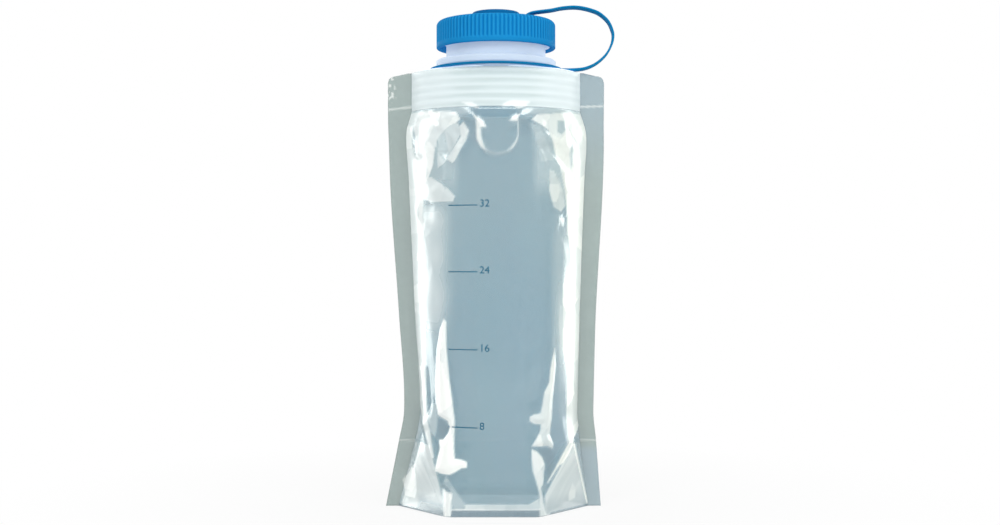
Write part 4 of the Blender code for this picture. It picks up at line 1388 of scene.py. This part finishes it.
def strap_route():
    """The middle line of the strap in the XZ plane, from the eye out over the cap to the ring."""
    crown = HEAD_TOP + 2.85 * MM
    reach = STRAP_REACH - STRAP_THICKNESS / 2
    return (
        (EYE_RADIUS - 0.5 * MM, EYE_MIDDLE),
        (HEAD_RADIUS + 1.0 * MM, EYE_MIDDLE + 0.1 * MM),
        (HEAD_RADIUS + 3.4 * MM, EYE_MIDDLE + 2.2 * MM),
        (HEAD_RADIUS + 7.2 * MM, EYE_MIDDLE + 4.0 * MM),
        (reach - 35.1 * MM, crown - 1.7 * MM),
        (reach - 29.5 * MM, crown - 0.6 * MM),
        (reach - 23.4 * MM, crown),
        (reach - 18.2 * MM, crown - 0.3 * MM),
        (reach - 12.6 * MM, crown - 1.6 * MM),
        (reach - 7.6 * MM, crown - 3.7 * MM),
        (reach - 2.8 * MM, crown - 8.1 * MM),
        (reach - 0.4 * MM, crown - 13.4 * MM),
        (reach, RING_MIDDLE + 18.2 * MM),
        (reach - 1.1 * MM, RING_MIDDLE + 13.7 * MM),
        (reach - 4.2 * MM, RING_MIDDLE + 8.3 * MM),
        (reach - 9.7 * MM, RING_MIDDLE + 3.5 * MM),
        (reach - 15.4 * MM, RING_MIDDLE + 1 * MM),
        (reach - 21 * MM, RING_MIDDLE + 0.2 * MM),
        (RING_RADIUS - 0.5 * MM, RING_MIDDLE),
    )


def smooth_route(points, parts):
    """Points along a smooth curve through the route's own points."""
    points = [Vector(point) for point in points]
    route = []
    for i in range(len(points) - 1):
        before = points[max(i - 1, 0)]
        here = points[i]
        there = points[i + 1]
        after = points[min(i + 2, len(points) - 1)]
        for k in range(parts):
            t = k / parts
            bend = (2 * before - 5 * here + 4 * there - after) * t**2
            twist = (3 * here - before - 3 * there + after) * t**3
            route.append(0.5 * (2 * here + (there - before) * t + bend + twist))
    route.append(points[-1])
    return route


def build_strap(material):
    """The flat strap, with rounded edges."""
    route = smooth_route(strap_route(), 6)
    last = len(route) - 1

    def place(across, up):
        i = round(up * last)
        along = (route[min(i + 1, last)] - route[max(i - 1, 0)]).normalized()
        outward = Vector((along.y, -along.x))
        t = 2 * math.pi * across
        wide = math.copysign(abs(math.cos(t)) ** 0.25, math.cos(t))
        deep = math.copysign(abs(math.sin(t)) ** 0.6, math.sin(t))
        offset = outward * deep * STRAP_THICKNESS / 2
        return Vector((route[i].x + offset.x, wide * STRAP_WIDTH / 2, route[i].y + offset.y))

    bm = mapped_grid(16, last, place, closed=True)
    bmesh.ops.holes_fill(bm, edges=[edge for edge in bm.edges if edge.is_boundary])
    bmesh.ops.recalc_face_normals(bm, faces=bm.faces)
    strap = new_piece("strap", bm, material, 50)
    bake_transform(strap)
    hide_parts("tether_strap")


def build_tether(material):
    """The ring round the neck, the eye under the stud's head and the strap between them."""
    heights = (RING_BOTTOM + RING_THINNER, RING_TOP - RING_THINNER)
    neck_ring = build_ring("neck_ring", (GROOVE_RADIUS + GAP, RING_RADIUS), heights, material)
    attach(neck_ring, "tether")
    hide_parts("tether_neck_ring")
    eye = build_ring("eye_ring", (STEM_RADIUS + GAP, EYE_RADIUS), (EYE_BOTTOM, EYE_TOP), material)
    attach(eye, "eye")
    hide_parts("tether_eye")
    build_strap(material)


# Print

INK_LIFT = 0.12 * MM
MARK_LEFT = -25.7 * MM
MARK_RIGHT = -9.9 * MM
NUMBER_LEFT = -8.8 * MM
FILL_MARKS = ((32, 168 * MM), (24, 132 * MM), (16, 90 * MM), (8, 48 * MM))


def lay_on_film(bm):
    """Move a flat shape in the XZ plane, with its depth in y, onto the front film."""
    for vertex in bm.verts:
        x, depth, z = vertex.co
        point = film_point(-1, (x - sway(z)) / inner_half_width(z), z)
        vertex.co = Vector((x, point.y - INK_LIFT - depth, z))


def print_piece(name, bm, material):
    lay_on_film(bm)
    bmesh.ops.recalc_face_normals(bm, faces=bm.faces)
    mark = new_piece(name, bm, material, 30)
    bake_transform(mark)


def number_shape(text, size, x, z):
    """A number as a closed flat mesh in the XZ plane, its left end at (x, z)."""
    curve = bpy.data.curves.new("number", "FONT")
    curve.body = text
    curve.size = size
    curve.extrude = 0.03 * MM
    curve.align_y = "CENTER"
    holder = bpy.data.objects.new("number", curve)
    bpy.context.collection.objects.link(holder)
    evaluated = holder.evaluated_get(bpy.context.evaluated_depsgraph_get())
    mesh = bpy.data.meshes.new_from_object(evaluated)
    bpy.data.objects.remove(holder, do_unlink=True)
    bm = bmesh.new()
    bm.from_mesh(mesh)
    bpy.data.meshes.remove(mesh)
    for vertex in bm.verts:
        across, up, depth = vertex.co
        vertex.co = Vector((x + across, depth, z + up))
    return bm


def build_print(material):
    """Fill marks up the front: a short line and a plain number at each height."""
    for number, z in FILL_MARKS:
        bm = bmesh.new()
        bmesh.ops.create_cube(bm, size=1)
        bmesh.ops.scale(bm, verts=bm.verts, vec=(MARK_RIGHT - MARK_LEFT, 0.06 * MM, 0.5 * MM))
        bmesh.ops.translate(bm, verts=bm.verts, vec=((MARK_LEFT + MARK_RIGHT) / 2, 0, z))
        long_edges = [edge for edge in bm.edges if edge.calc_length() > 1 * MM]
        bmesh.ops.subdivide_edges(bm, edges=long_edges, cuts=15, use_grid_fill=True)
        print_piece(f"mark_{number}", bm, material)
        shape = number_shape(str(number), 5.6 * MM, NUMBER_LEFT, z + 0.8 * MM)
        print_piece(f"number_{number}", shape, material)


def main():
    bpy.context.scene.view_settings.view_transform = "Standard"
    add_camera()
    add_lamps()
    add_surroundings()
    add_floor()
    film = film_material()
    band = band_material()
    welded = seam_material()
    boat_white = milky_material("pale_boat", (0.74, 0.81, 0.87), (0.7, 0.77, 0.84))
    neck_lilac = milky_material("milky_neck", (0.475, 0.55, 0.655), (0.44, 0.515, 0.62))
    # The cap's darker blue is the painted shade of its grooves
    cap_blue = blue_material("blue_cap", (0.016, 0.285, 0.64), (0.001, 0.16, 0.46), 0.5)
    stud_blue = blue_material("blue_stud", (0.006, 0.15, 0.38), (0.0, 0.11, 0.3), 0.45)
    tether_blue = blue_material("blue_tether", (0.004, 0.21, 0.46), (0.0, 0.14, 0.38), 0.45)
    for side in SIDES:
        build_wall(side, film)
        build_band(side, band)
        build_margin(side, welded)
        build_bottom(side, film)
    build_boat(boat_white)
    build_neck(neck_lilac)
    build_cap(cap_blue)
    build_stud(stud_blue)
    build_tether(tether_blue)
    build_print(ink_material())


def corners(bounds):
    return [list(map(float, corner)) for corner in bounds]


main()
{"cad": corners(cad_bounds), "visual": corners(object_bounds())}
